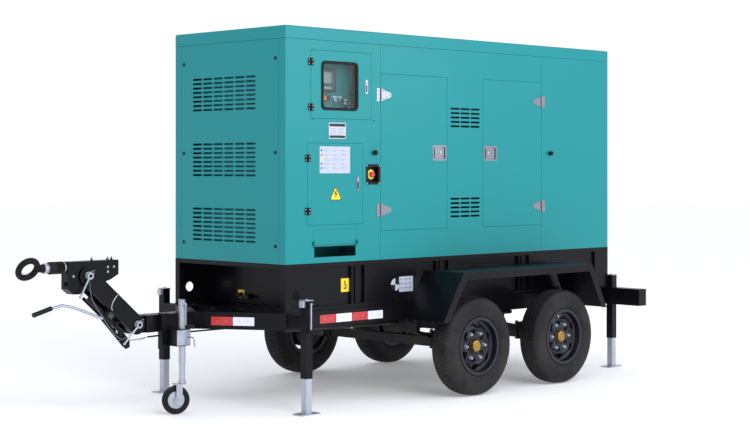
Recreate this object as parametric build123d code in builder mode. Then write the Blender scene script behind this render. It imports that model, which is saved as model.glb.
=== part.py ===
from build123d import *
import math
import os

# A towable diesel generator: a sheet-steel canopy over an engine and alternator, on a base tank,
# carried by a tandem-axle trailer with four corner jacks, a jockey wheel and a ring drawbar.
# X runs from the tow ring to the rear, the control side faces -Y, and Z is up from the ground.
# The origin is on the ground, in the middle of the whole object. All sizes are in millimetres.

# ---------------------------------------------------------------- driving sizes
canopy_length = 3700
canopy_width = 1250
canopy_height = 1685
base_height = 340
rail_height = 120
tyre_diameter = 744
tyre_width = 185
axle_spacing = 1010
axles_from_rear = 1610

# sheet metal, gaps and fits
skin = 3
seam = 2
door_gap = 2
weld_gap = 0.3
running_fit = 0.05
sliding_gap = 0.3

# trailer frame
rail_overhang = 15
rail_width = 60
spring_stack = 200
beam_height = 140
beam_depth = 100
beam_overhang = 380
drawbar_width = 120

# canopy layout, measured from its front face and from the top of the base
front_bay = 942
rear_bay = 892
post_width = 418
door_sill = 215
door_head = 307
roof_band = 91
corner_bend = 12
return_width = 70
door_depth = 24

# mudguards
mudguard_reach = 410
mudguard_rise = 191
mudguard_lip = 58

# jacks
jack_tube = 60
jack_wall = 4
jack_drop = 322
jack_travel = 220
jack_crank_reach = 190

# drawbar
pivot_ahead = 850
arm_length = 539
arm_angle = 41.3
ring_ahead = 441
ring_radius = 67
ring_stock = 21
ring_roll = 32

# ---------------------------------------------------------------- derived levels and planes
tyre_radius = tyre_diameter / 2
rail_bottom = tyre_radius + spring_stack
rail_top = rail_bottom + rail_height
base_top = rail_top + base_height
roof_top = base_top + canopy_height
band_bottom = roof_top - roof_band

half_width = canopy_width / 2
rail_outer = half_width + rail_overhang
rail_inner = rail_outer - rail_width

pivot_rise = rail_height / 2
head_height = rail_bottom + pivot_rise + arm_length * math.sin(math.radians(arm_angle))
pivot_to_pivot = arm_length * math.cos(math.radians(arm_angle))
front_reach = pivot_ahead + pivot_to_pivot + ring_ahead + ring_radius + ring_stock
crank_grip = 110
rear_jack_back = 40
gear_depth = 22
rear_reach = rear_jack_back + jack_tube / 2 + gear_depth + 18 + crank_grip
nose = (front_reach - rear_reach - canopy_length) / 2
tail = nose + canopy_length
axle_middle = tail - axles_from_rear
axle_places = {
    "front": axle_middle - axle_spacing / 2,
    "rear": axle_middle + axle_spacing / 2,
}
wheel_middle = rail_outer + 311
sides = {"left": -1, "right": 1}

os.makedirs("parts", exist_ok=True)


# ---------------------------------------------------------------- shapes used again and again
def block(x, y, z, mode=Mode.ADD):
    """A rectangular block between pairs of limits along X, Y and Z."""
    limits = [(min(pair), max(pair)) for pair in (x, y, z)]
    size = [high - low for low, high in limits]
    centre = [(low + high) / 2 for low, high in limits]
    with Locations(tuple(centre)):
        Box(*size, mode=mode)


def bar(start, end, radius, mode=Mode.ADD):
    """A round bar from one point to another."""
    run = Vector(*end) - Vector(*start)
    with Locations(Plane(origin=start, z_dir=run).location):
        Cylinder(radius, run.length, align=(Align.CENTER, Align.CENTER, Align.MIN), mode=mode)


def plate(points, y, mode=Mode.ADD, rounding=0):
    """A flat plate seen from the side: its X and Z corners, between two values of Y."""
    with BuildSketch(Plane.XZ.offset(-max(y))) as outline:
        with BuildLine():
            Polyline(*points, close=True)
        make_face()
        if rounding:
            fillet(outline.vertices(), rounding)
    extrude(outline.sketch, amount=max(y) - min(y), mode=mode)


def rounded_plate(x, z, y, radius, mode=Mode.ADD):
    """A rectangular plate with round corners, seen from the side, between two values of Y."""
    centre = ((x[0] + x[1]) / 2, (z[0] + z[1]) / 2)
    with BuildSketch(Plane.XZ.offset(-max(y))) as outline:
        with Locations(centre):
            RectangleRounded(abs(x[1] - x[0]), abs(z[1] - z[0]), radius)
    extrude(outline.sketch, amount=max(y) - min(y), mode=mode)


def turned(points, origin, along, mode=Mode.ADD):
    """A turned piece: corners of its half section as (distance along the axis, radius)."""
    direction = Vector(*along)
    across = Vector(1, 0, 0) if abs(direction.Z) > 0.9 * direction.length else Vector(0, 0, 1)
    plane = Plane(origin=origin, x_dir=direction, z_dir=direction.cross(across))
    with BuildSketch(plane) as section:
        with BuildLine():
            Polyline(*points, close=True)
        make_face()
    revolve(section.sketch, axis=Axis(origin, along), mode=mode)


def save(piece, name):
    """Labels a finished piece and writes its STEP file."""
    piece.part.label = name
    export_step(piece.part, f"parts/{name}.step")


# ---------------------------------------------------------------- spring layout
spring_half = 370
spring_sag = 70
spring_width = 50
leaf_thickness = 10
leaf_reaches = (370, 300, 225, 150)
axle_square = 70
spring_seat = tyre_radius + axle_square / 2 + weld_gap
spring_top = spring_seat + leaf_thickness * len(leaf_reaches)
spring_radius = (spring_half ** 2 + spring_sag ** 2) / (2 * spring_sag)
spring_centre_y = rail_outer - rail_width / 2
eye_radius = 18
eye_pin_radius = 12
eye_z = spring_top - leaf_thickness / 2 + spring_sag

# ---------------------------------------------------------------- trailer frame
crossmember_places = (330, 940, 1560, 2480, 3100)
a_beam_end = 370
tongue_half = 40
pin_radius = 16
tongue_radius = 60
jockey_x = nose - 557
jockey_y = -170
jockey_tube_radius = 24
clamp_rise = 95
clamp_height = 115
pivot_z = rail_bottom + pivot_rise
pivot_x = nose - pivot_ahead
crossbeam_front = tail - 90
crossbeam_bottom = rail_top - beam_height

with BuildPart() as chassis_frame:
    for side in sides.values():
        # hollow side rail
        rail_end = crossbeam_front - weld_gap
        block((nose, rail_end), (side * rail_outer, side * rail_inner), (rail_bottom, rail_top))
        block((nose, rail_end), (side * (rail_outer - 5), side * (rail_inner + 5)),
              (rail_bottom + 5, rail_top - 5), mode=Mode.SUBTRACT)
        # A-frame beam from the rail to the drawbar beam
        inner_x = nose - a_beam_end
        a_points = [
            (nose - weld_gap, side * (rail_outer - 4)),
            (inner_x, side * (drawbar_width / 2 + weld_gap)),
            (inner_x + 110, side * (drawbar_width / 2 + weld_gap)),
            (nose - weld_gap, side * (rail_inner - 60)),
        ]
        with BuildSketch(Plane.XY.offset(rail_bottom)) as a_beam:
            with BuildLine():
                Polyline(*a_points, close=True)
            make_face()
        extrude(amount=rail_height)
        # spring hangers: two cheeks at each end of the springs and between them
        for hanger_x, reach in ((axle_places["front"] - spring_half, 28), (axle_middle, 162),
                                (axle_places["rear"] + spring_half, 28)):
            for cheek in (rail_inner - 2, rail_outer - 4):
                block((hanger_x - reach, hanger_x + reach), (side * cheek, side * (cheek + 6)),
                      (rail_bottom - 92, rail_bottom - weld_gap))
        # the pins that hold the spring eyes
        for axle_x in axle_places.values():
            for end in (-1, 1):
                pin_x = axle_x + end * spring_half
                bar((pin_x, side * (rail_inner - 6), eye_z), (pin_x, side * (rail_outer + 6), eye_z),
                    eye_pin_radius)
    # crossmembers between the rails
    for place in crossmember_places:
        block((nose + place, nose + place + 80), (-rail_inner + weld_gap, rail_inner - weld_gap),
              (rail_bottom + 20, rail_top))
    block((nose, nose + 60), (-rail_inner + weld_gap, rail_inner - weld_gap),
          (rail_bottom, rail_top))
    # rear crossbeam that carries the lamps and the rear jacks
    block((crossbeam_front, crossbeam_front + beam_depth),
          (-rail_outer - beam_overhang, rail_outer + beam_overhang), (crossbeam_bottom, rail_top - 0.5))
    # drawbar beam with a tongue that the arm pivots on
    block((pivot_x + 70, nose - weld_gap), (-drawbar_width / 2, drawbar_width / 2),
          (rail_bottom, rail_top))
    block((pivot_x, pivot_x + 70), (-tongue_half, tongue_half), (rail_bottom, rail_top))
    bar((pivot_x, -tongue_half, pivot_z), (pivot_x, tongue_half, pivot_z), tongue_radius)
    bar((pivot_x, -tongue_half, pivot_z), (pivot_x, tongue_half, pivot_z),
        pin_radius + running_fit, mode=Mode.SUBTRACT)
    # post and clamp that hold the jockey tube
    clamp_bottom = rail_bottom - clamp_rise
    post_face = -drawbar_width / 2 - weld_gap
    block((jockey_x - 125, jockey_x - 80), (post_face, post_face - 45),
          (rail_bottom - 120, rail_top + 10))
    block((jockey_x - 79.5, jockey_x + 38), (jockey_y - 42, post_face - 2),
          (clamp_bottom, clamp_bottom + clamp_height))
    bar((jockey_x, jockey_y, clamp_bottom), (jockey_x, jockey_y, clamp_bottom + clamp_height),
        jockey_tube_radius + sliding_gap, mode=Mode.SUBTRACT)

save(chassis_frame, "chassis_frame")

# ---------------------------------------------------------------- leaf springs and axles
with BuildPart() as leaf_springs:
    for side in sides.values():
        for axle_x in axle_places.values():
            bow_centre = (axle_x, spring_top + spring_radius)
            for index, reach in enumerate(leaf_reaches):
                outer = spring_radius + leaf_thickness * (index + 1)
                inner = outer - leaf_thickness - 0.01
                with BuildSketch(Plane.XZ.offset(-side * spring_centre_y)) as leaf:
                    with Locations(bow_centre):
                        Circle(outer)
                        Circle(inner, mode=Mode.SUBTRACT)
                    with Locations((axle_x, spring_top)):
                        Rectangle(2 * reach, 4 * spring_sag, mode=Mode.INTERSECT)
                extrude(amount=spring_width / 2, both=True)
            for end in (-1, 1):
                eye = (axle_x + end * spring_half, side * spring_centre_y, eye_z)
                half = spring_width / 2
                bar((eye[0], eye[1] - half, eye[2]), (eye[0], eye[1] + half, eye[2]), eye_radius)
                bar((eye[0], eye[1] - half, eye[2]), (eye[0], eye[1] + half, eye[2]),
                    eye_pin_radius + running_fit, mode=Mode.SUBTRACT)

save(leaf_springs, "leaf_springs")

hub_outer = wheel_middle + 20
spindle_radius = 25
drum_inner = wheel_middle - 62
u_bolt_radius = 7

with BuildPart() as axles:
    for axle_x in axle_places.values():
        block((axle_x - axle_square / 2, axle_x + axle_square / 2),
              (-drum_inner + 60, drum_inner - 60),
              (tyre_radius - axle_square / 2, tyre_radius + axle_square / 2))
        for side in sides.values():
            turned([(0, 0), (0, 45), (55, 45), (55, 34), (66, spindle_radius),
                    (hub_outer - drum_inner + 64, spindle_radius),
                    (hub_outer - drum_inner + 64, 0)],
                   (axle_x, side * (drum_inner - 64), tyre_radius), (0, side, 0))
            # brake backplate
            turned([(40, 40), (40, 150), (44, 150), (44, 40)],
                   (axle_x, side * (drum_inner - 64), tyre_radius), (0, side, 0))
            # U-bolts, their lower plate and the clamp plate over the spring
            for bolt_x in (-44, 44):
                for bolt_y in (-33, 33):
                    place = (axle_x + bolt_x, side * spring_centre_y + bolt_y)
                    bar((*place, tyre_radius - axle_square / 2 - 14), (*place, spring_top + 26),
                        u_bolt_radius)
            block((axle_x - 58, axle_x + 58),
                  (side * (spring_centre_y - 43), side * (spring_centre_y + 43)),
                  (spring_top + 3, spring_top + 14))
            block((axle_x - 58, axle_x + 58),
                  (side * (spring_centre_y - 43), side * (spring_centre_y + 43)),
                  (tyre_radius - axle_square / 2 - 10, tyre_radius - axle_square / 2))

save(axles, "axles")

# ---------------------------------------------------------------- wheels
bead_radius = 203
rim_flange = 219
rim_half = 76
hub_face = wheel_middle + 42
stud_circle = 102
hand_hole_circle = 158

tyre_section = [
    (-rim_half + 2, bead_radius + 0.3), (-rim_half + 0.5, bead_radius + 1),
    (-rim_half + 0.5, bead_radius + 19), (-rim_half - 7, bead_radius + 24), (-88, 255),
    (-tyre_width / 2, 290), (-tyre_width / 2, 310), (-86, 338), (-74, 358), (-60, 368),
    (-40, tyre_radius - 1), (0, tyre_radius), (40, tyre_radius - 1), (60, 368), (74, 358),
    (86, 338), (tyre_width / 2, 310), (tyre_width / 2, 290), (88, 255),
    (rim_half + 7, bead_radius + 24), (rim_half - 0.5, bead_radius + 19),
    (rim_half - 0.5, bead_radius + 1), (rim_half - 2, bead_radius + 0.3),
    (rim_half - 20, bead_radius + 10), (70, 240), (78, 290), (70, 335), (50, 352),
    (-50, 352), (-70, 335), (-78, 290), (-70, 240), (-rim_half + 20, bead_radius + 10),
]
tyre_scale = tyre_radius / 372

for axle_name, axle_x in axle_places.items():
    for side_name, side in sides.items():
        hub = (axle_x, side * wheel_middle, tyre_radius)
        outward = (0, side, 0)
        with BuildPart() as tyre:
            turned([(a, bead_radius + (r - bead_radius) * (tyre_radius - bead_radius) / 169)
                    for a, r in tyre_section], hub, outward)
        save(tyre, f"tyre_{axle_name}_{side_name}")

        with BuildPart() as rim:
            # well-base rim
            turned([(-76, 203), (-76, 219), (-84, 219), (-84, 196), (-40, 190), (-30, 176),
                    (30, 176), (40, 190), (84, 196), (84, 219), (76, 219), (76, 203),
                    (38, 197), (28, 183), (-28, 183), (-38, 197)], hub, outward)
            # dished disc
            turned([(34, 176.5), (28, 184), (20, 176), (40, 140), (22, 118), (22, 62),
                    (30, 62), (30, 112), (48, 140), (30, 170)], hub, outward)
            # hub barrel with a running bore for the spindle, and the brake drum behind it
            turned([(-52, spindle_radius + running_fit), (-52, 150), (20, 150), (20, 144),
                    (-46, 144), (-46, 50), (12, 50), (12, 90), (22, 90), (22, 68),
                    (34, 66), (34, spindle_radius + running_fit)], hub, outward)
            # cap
            turned([(34, 0), (34, 45), (52, 44), (58, 36), (60, 0)], hub, outward)
            with BuildSketch(Plane.XZ.offset(-hub[1])) as holes:
                with Locations((axle_x, tyre_radius)):
                    with PolarLocations(hand_hole_circle, 6, start_angle=25):
                        SlotOverall(70, 44, rotation=90)
            extrude(holes.sketch, amount=60 * -side, mode=Mode.SUBTRACT)
            with Locations(Plane(origin=hub, z_dir=outward).location):
                with PolarLocations(stud_circle, 6):
                    with Locations((0, 0, 38)):
                        Cylinder(12, 17)
        save(rim, f"rim_{axle_name}_{side_name}")

# ---------------------------------------------------------------- mudguards
guard_top = tyre_diameter + mudguard_rise
guard_foot = rail_bottom + 3
guard_outer = rail_outer + mudguard_reach
guard_front = axle_places["front"] - 414
guard_front_top = axle_places["front"] - 194
guard_rear_top = axle_places["rear"] + 340
guard_rear = axle_places["rear"] + 530

with BuildPart() as mudguards:
    for side in sides.values():
        arch = [(guard_front, guard_foot), (guard_front_top, guard_top),
                (guard_rear_top, guard_top), (guard_rear, guard_foot)]
        under = [(guard_rear - 4, guard_foot), (guard_rear_top - 2, guard_top - skin),
                 (guard_front_top + 2, guard_top - skin), (guard_front + 4, guard_foot)]
        reach = (side * (rail_outer + weld_gap), side * guard_outer)
        plate(arch + under, reach)
        # lip that hangs from the outer edge
        deep = [(guard_rear - 62, guard_foot), (guard_rear_top - 34, guard_top - mudguard_lip),
                (guard_front_top + 38, guard_top - mudguard_lip), (guard_front + 66, guard_foot)]
        plate(arch + deep, (side * (guard_outer - skin), side * guard_outer))
        # foot flange and the bracket below it
        block((guard_front - 62, guard_front + 4), reach, (guard_foot - skin, guard_foot))
        block((guard_front - 50, guard_front - 10), (side * (rail_outer + weld_gap),
              side * (rail_outer + 180)), (guard_foot - 83, guard_foot - skin))
        # brackets under the top, welded to the base
        for bracket_x in (guard_front_top + 160, axle_middle, guard_rear_top - 160):
            block((bracket_x - 20, bracket_x + 20), (side * (rail_outer + weld_gap),
                  side * (rail_outer + 60)), (guard_top - 45, guard_top - skin))

save(mudguards, "mudguards")

# ---------------------------------------------------------------- corner jacks
jack_top = rail_top + 98
jack_bottom = rail_bottom - jack_drop
leg_square = jack_tube - 2 * jack_wall - 2 * sliding_gap
leg_top = jack_bottom + 215
foot_thickness = 8
crank_height = jack_top - 22
front_jack_x = nose + 35
front_jack_y = rail_outer + 166
rear_jack_x = tail + rear_jack_back
rear_jack_y = rail_outer - 5

# place, the way the crank faces, the way the gear case faces, and how far out the boss starts
jack_places = {
    "front_left": (front_jack_x, -front_jack_y, (0, -1, 0), (-1, 0), jack_tube / 2),
    "front_right": (front_jack_x, front_jack_y, (0, 1, 0), (-1, 0), jack_tube / 2),
    "rear_left": (rear_jack_x, -rear_jack_y, (1, 0, 0), (1, 0), jack_tube / 2 + gear_depth),
    "rear_right": (rear_jack_x, rear_jack_y, (1, 0, 0), (1, 0), jack_tube / 2 + gear_depth),
}


def shifted(point, direction, distance):
    """The point that lies a distance away in a direction."""
    return tuple(p + d * distance for p, d in zip(point, direction))


with BuildPart() as jack_tubes:
    half = jack_tube / 2
    for jack_x, jack_y, outward, case_way, boss_start in jack_places.values():
        block((jack_x - half, jack_x + half), (jack_y - half, jack_y + half),
              (jack_bottom, jack_top))
        block((jack_x - half + jack_wall, jack_x + half - jack_wall),
              (jack_y - half + jack_wall, jack_y + half - jack_wall),
              (jack_bottom, jack_top), mode=Mode.SUBTRACT)
        # gearbox cap and the boss that the crank turns in
        block((jack_x - half - 4, jack_x + half + 4), (jack_y - half - 4, jack_y + half + 4),
              (jack_top, jack_top + 5))
        block((jack_x + case_way[0] * half, jack_x + case_way[0] * (half + gear_depth)),
              (jack_y - 20, jack_y + 20), (jack_top - 45, jack_top - 2))
        face = (jack_x + outward[0] * boss_start, jack_y + outward[1] * boss_start, crank_height)
        bar(face, shifted(face, outward, 8), 16)
        bar(shifted(face, outward, -4), shifted(face, outward, 8), 8 + running_fit,
            mode=Mode.SUBTRACT)
    # outriggers of the front jacks
    for side in sides.values():
        block((front_jack_x - 30, front_jack_x + 30),
              (side * (rail_outer + weld_gap), side * (front_jack_y - half)),
              (rail_bottom + 20, rail_top - 10))

save(jack_tubes, "jack_tubes")

for jack_name, (jack_x, jack_y, outward, case_way, boss_start) in jack_places.items():
    with BuildPart() as leg:
        half = leg_square / 2
        block((jack_x - half, jack_x + half), (jack_y - half, jack_y + half),
              (foot_thickness, leg_top))
        block((jack_x - half + 3, jack_x + half - 3), (jack_y - half + 3, jack_y + half - 3),
              (foot_thickness, leg_top), mode=Mode.SUBTRACT)
        block((jack_x - 90, jack_x + 90), (jack_y - 50, jack_y + 50), (0, foot_thickness))
        fillet(leg.edges().filter_by(Axis.Z).group_by(Axis.Z)[0], 8)
    save(leg, f"jack_leg_{jack_name}")

    with BuildPart() as crank:
        boss = (jack_x + outward[0] * boss_start, jack_y + outward[1] * boss_start,
                crank_height)
        arm_plane = shifted(boss, outward, 18)
        elbow = (arm_plane[0], arm_plane[1], crank_height - jack_crank_reach)
        bar(shifted(boss, outward, 0.5), shifted(boss, outward, 24), 8)
        bar(arm_plane, elbow, 6)
        bar(shifted(elbow, outward, -7.5), shifted(elbow, outward, 8), 7.5)
        bar(shifted(elbow, outward, 8), shifted(elbow, outward, crank_grip), 15)
    save(crank, f"jack_crank_{jack_name}")

# ---------------------------------------------------------------- base frame and fuel tank
web = 4
flange = 20
lip_height = 32
post_square = 48
bay_depth = 300
deck_top = base_top - 26
rib_pairs = (640, 1545, 2515)
rib_spread = 140
hole_x = 117
hole_radius = 36
skid_height = 100

with BuildPart() as base_frame:
    base_bottom = rail_top + weld_gap
    for side in sides.values():
        web_outer = side * (half_width - flange)
        web_inner = side * (half_width - flange - web)
        outer = side * half_width
        block((nose, tail), (web_outer, web_inner), (base_bottom, base_top))
        block((nose, tail), (outer, web_inner), (base_top - lip_height, base_top - weld_gap))
        block((nose, tail), (outer, web_inner), (base_bottom, base_bottom + 30))
        # stiffening ribs in pairs, and the solid end posts
        for place in rib_pairs:
            for rib_x in (nose + place, nose + place + rib_spread - 6):
                block((rib_x, rib_x + 6), (outer, web_inner), (base_bottom, base_top - 1))
            block((nose + place + 50, nose + place + 90), (side * (half_width - 12), web_inner),
                  (base_bottom, base_top - 1))
        block((nose, nose + post_square), (outer, side * (half_width - post_square)),
              (base_bottom, base_top - 1))
        block((tail - 180, tail), (outer, web_inner), (base_bottom, base_top - 1))
        for place in (hole_x,):
            bar((nose + place, side * half_width, rail_top + 120),
                (nose + place, side * (half_width - 60), rail_top + 120), hole_radius,
                mode=Mode.SUBTRACT)
        # skids under the engine and alternator
        block((nose + 760, tail - 770), (side * 250, side * 310),
              (deck_top + weld_gap, deck_top + skid_height))
    # cross lips at the front, a rear plate and the deck
    block((nose, nose + 24), (-half_width + 5, half_width - 5),
          (base_top - lip_height, base_top - weld_gap))
    block((tail - web, tail), (-half_width + 5, half_width - 5), (base_bottom, base_top - 1))
    block((nose + bay_depth, tail - web - weld_gap),
          (-half_width + flange + web + weld_gap, half_width - flange - web - weld_gap),
          (deck_top - 5, deck_top))

save(base_frame, "base_frame")

tank_half = half_width - flange - web - 4
tank_top = deck_top - 10

with BuildPart() as fuel_tank:
    block((nose + bay_depth, tail - 500), (-tank_half, tank_half), (rail_top + 8, tank_top))
    block((nose + bay_depth + skin, tail - 500 - skin), (-tank_half + skin, tank_half - skin),
          (rail_top + 8 + skin, tank_top - skin), mode=Mode.SUBTRACT)
    # feet, fuel sender flange, drain boss and level gauge boss
    for foot_x in (nose + bay_depth + 60, tail - 620):
        block((foot_x, foot_x + 60), (-tank_half, tank_half), (rail_top + weld_gap, rail_top + 8))
    bar((tail - 900, 0, tank_top - skin), (tail - 900, 0, tank_top + 4.5), 40)
    bar((tail - 900, 0, tank_top - skin - 1), (tail - 900, 0, tank_top + 4.5), 24,
        mode=Mode.SUBTRACT)
    bar((nose + bay_depth, 200, rail_top + 70), (nose + bay_depth - 40, 200, rail_top + 70), 18)
    bar((nose + bay_depth, 110, rail_top + 60), (nose + bay_depth - 30, 110, rail_top + 60), 22)
    block((nose + bay_depth - 55, nose + bay_depth - 30), (70, 150),
          (rail_top + 50, rail_top + 72))

save(fuel_tank, "fuel_tank")

# ---------------------------------------------------------------- canopy shell
door_bottom = base_top + door_sill
door_top = roof_top - door_head
mid_start = nose + front_bay
mid_end = tail - rear_bay
post_start = (mid_start + mid_end - post_width) / 2
post_end = post_start + post_width
louvre_slot = (107, 15)
louvre_pitch = (122, 32.5)

# small doors and openings on the control side, from the canopy's front and the base's top
control_x = (nose + 241, nose + 843)
control_z = (base_top + 1035, base_top + 1521)
output_x = (nose + 211, nose + 754)
output_z = (base_top + 272, base_top + 857)
flap_x = (nose + 265, nose + 692)
flap_z = (base_top + 118, base_top + 236)
cable_slot_bottom = base_top + 41
estop_place = (nose + 862, base_top + 632)
hinge_rise = 6.5
knuckle_radius = 6
hinge_pin_radius = 3


def side_y(side, depth):
    """The Y of a plane that lies a depth inside the canopy's outer face on one side."""
    return side * (half_width - depth)


def knuckle(x, z, side, mode=Mode.ADD, radius=knuckle_radius):
    """A hinge knuckle on the outside of the canopy, between two heights."""
    y = side_y(side, -hinge_rise)
    bar((x, y, z[0]), (x, y, z[1]), radius, mode=mode)


strap_height = 96
strap_places = (door_bottom + 105, door_top - 204)
big_hinges = []
for edge_x, fixed_side in ((mid_start, -1), (mid_end, 1)):
    for strap_z in strap_places:
        big_hinges.append((edge_x, strap_z, fixed_side))

small_height = 50
small_hinges = [
    (control_x[0], control_z[0] + 52), (control_x[0], control_z[1] - 110),
    (output_x[0], output_z[0] + 74), (output_x[0], output_z[1] - 134),
]


def slots(columns, rows, centre, plane, depth):
    """A group of round-ended ventilation slots cut through a panel."""
    with BuildSketch(plane) as group:
        with Locations(centre):
            with GridLocations(louvre_pitch[0], louvre_pitch[1], columns, rows):
                SlotOverall(*louvre_slot)
    extrude(group.sketch, amount=depth, both=True, mode=Mode.SUBTRACT)


with BuildPart() as canopy_sides:
    for side in sides.values():
        outer = side_y(side, 0)
        inner = side_y(side, skin)
        panel_bottom = base_top + weld_gap
        panel_top = band_bottom - seam
        # front section, bent round the front corner
        block((nose, mid_start - seam), (outer, inner), (panel_bottom, panel_top))
        block((nose, nose + skin), (outer, side_y(side, return_width)),
              (panel_bottom, panel_top))
        # rear section, bent round the rear corner
        block((mid_end + seam, tail), (outer, inner), (panel_bottom, panel_top))
        block((tail - skin, tail), (outer, side_y(side, return_width)),
              (panel_bottom, panel_top))
        # middle section: sill, head and centre post round the two doors
        block((mid_start, mid_end), (outer, inner), (panel_bottom, door_bottom - door_gap))
        block((mid_start, mid_end), (outer, inner), (door_top + door_gap, panel_top))
        block((post_start + door_gap, post_end - door_gap), (outer, inner),
              (door_bottom - 5, door_top + 5))
        post_middle = (post_start + post_end) / 2
        for slot_z in (base_top + 372, base_top + 1071):
            with BuildSketch(Plane.XZ.offset(-outer)) as group:
                with Locations((post_middle, slot_z)):
                    with GridLocations(116, 34, 3, 5):
                        SlotOverall(105, 15)
            extrude(group.sketch, amount=2 * skin, both=True, mode=Mode.SUBTRACT)
    corners = canopy_sides.edges().filter_by(Axis.Z)
    corners = corners.filter_by(lambda e: abs(abs(e.center().Y) - half_width) < 0.01)
    corners = corners.filter_by(
        lambda e: min(abs(e.center().X - nose), abs(e.center().X - tail)) < 0.01)
    fillet(corners, skin - 0.2)
    # openings on the control side
    near = (side_y(-1, -1), side_y(-1, skin + 1))
    block((control_x[0] - door_gap, control_x[1] + door_gap), near,
          (control_z[0] - door_gap, control_z[1] + door_gap), mode=Mode.SUBTRACT)
    block((output_x[0] - door_gap, output_x[1] + door_gap), near,
          (output_z[0] - door_gap, output_z[1] + door_gap), mode=Mode.SUBTRACT)
    block((flap_x[0] - 1, flap_x[1] + 1), near, (flap_z[0] - 1, flap_z[1] + 1),
          mode=Mode.SUBTRACT)
    block((flap_x[0] + 8, flap_x[1] - 8), near, (cable_slot_bottom, flap_z[0]),
          mode=Mode.SUBTRACT)
    rounded_plate((estop_place[0] - 60, estop_place[0] + 60),
                  (estop_place[1] - 62, estop_place[1] + 62), near, 20, mode=Mode.SUBTRACT)
    # fixed leaves, knuckles and pins of the strap hinges on both sides
    for side in sides.values():
        leaf_y = (side_y(side, -weld_gap), side_y(side, -2.8))
        for edge_x, strap_z, fixed_side in big_hinges:
            leaf_end = edge_x + fixed_side * 42
            block((edge_x + fixed_side * 8, leaf_end), leaf_y, (strap_z, strap_z + strap_height))
            for tab_z in (strap_z, strap_z + 64.5):
                block((edge_x + fixed_side * 3, edge_x + fixed_side * 9), leaf_y,
                      (tab_z, tab_z + 31.5))
            knuckle(edge_x, (strap_z, strap_z + 31.5), side)
            knuckle(edge_x, (strap_z + 64.5, strap_z + strap_height), side)
            knuckle(edge_x, (strap_z - 2, strap_z + strap_height + 2), side,
                    radius=hinge_pin_radius)
    for edge_x, low_z in small_hinges:
        leaf_y = (side_y(-1, -weld_gap), side_y(-1, -3))
        block((edge_x - 28, edge_x - 8), leaf_y, (low_z, low_z + small_height))
        for tab_z in (low_z, low_z + 34):
            block((edge_x - 9, edge_x - 3), leaf_y, (tab_z, tab_z + 16))
        knuckle(edge_x, (low_z, low_z + 16), -1)
        knuckle(edge_x, (low_z + 34, low_z + small_height), -1)
        knuckle(edge_x, (low_z - 1, low_z + small_height + 1), -1, radius=hinge_pin_radius)

save(canopy_sides, "canopy_sides")

louvre_columns = 6
louvre_rows = 8
louvre_centre_y = 55
louvre_heights = (base_top + 264, base_top + 740, base_top + 1221)

with BuildPart() as canopy_ends:
    end_half = half_width - return_width - seam
    for end_x, inward in ((nose, 1), (tail, -1)):
        block((end_x, end_x + inward * skin), (-end_half, end_half),
              (base_top + weld_gap, band_bottom - seam))
        # stiffening returns behind the edges
        for edge in (-1, 1):
            block((end_x + inward * skin, end_x + inward * 25),
                  (edge * end_half, edge * (end_half - skin)),
                  (base_top + 20, band_bottom - 20))
        for height in louvre_heights:
            slots(louvre_columns, louvre_rows, (louvre_centre_y, height),
                  Plane.YZ.offset(end_x), 2 * skin)
    # sound baffle behind the front louvres, on four spacers
    baffle_x = nose + 110
    block((baffle_x, baffle_x + skin), (-end_half + 60, end_half - 60),
          (base_top + 60, band_bottom - 60))
    for edge in (-1, 1):
        for height in (base_top + 100, band_bottom - 100):
            bar((nose + skin, edge * (end_half - 90), height),
                (baffle_x, edge * (end_half - 90), height), 8)

save(canopy_ends, "canopy_ends")

with BuildPart() as canopy_roof:
    block((nose, tail), (-half_width, half_width), (band_bottom, roof_top))
    fillet(canopy_roof.edges().group_by(Axis.Z)[-1], corner_bend)
    fillet(canopy_roof.edges().filter_by(Axis.Z), 2)
    block((nose + skin, tail - skin), (-half_width + skin, half_width - skin),
          (band_bottom, roof_top - corner_bend), mode=Mode.SUBTRACT)
    block((nose + 30, tail - 30), (-half_width + 30, half_width - 30),
          (roof_top - corner_bend - 1, roof_top - skin), mode=Mode.SUBTRACT)
    # stiffeners under the roof skin, which carry the silencer
    for rib_x in (nose + 900, tail - 1750, tail - 950):
        block((rib_x, rib_x + 40), (-half_width + 31, half_width - 31),
              (roof_top - 40, roof_top - skin - 0.2))

save(canopy_roof, "canopy_roof")

# ---------------------------------------------------------------- big doors and their latches
latch_size = (155, 118)
latch_dish_depth = 18
latch_z = (door_bottom + door_top) / 2 - 2
paddle_size = (104, 84)
paddle_thickness = 3

big_doors = {}
for side_name, side in sides.items():
    big_doors[f"{side_name}_front"] = (side, mid_start, post_start, 1)
    big_doors[f"{side_name}_rear"] = (side, mid_end, post_end, -1)

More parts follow.
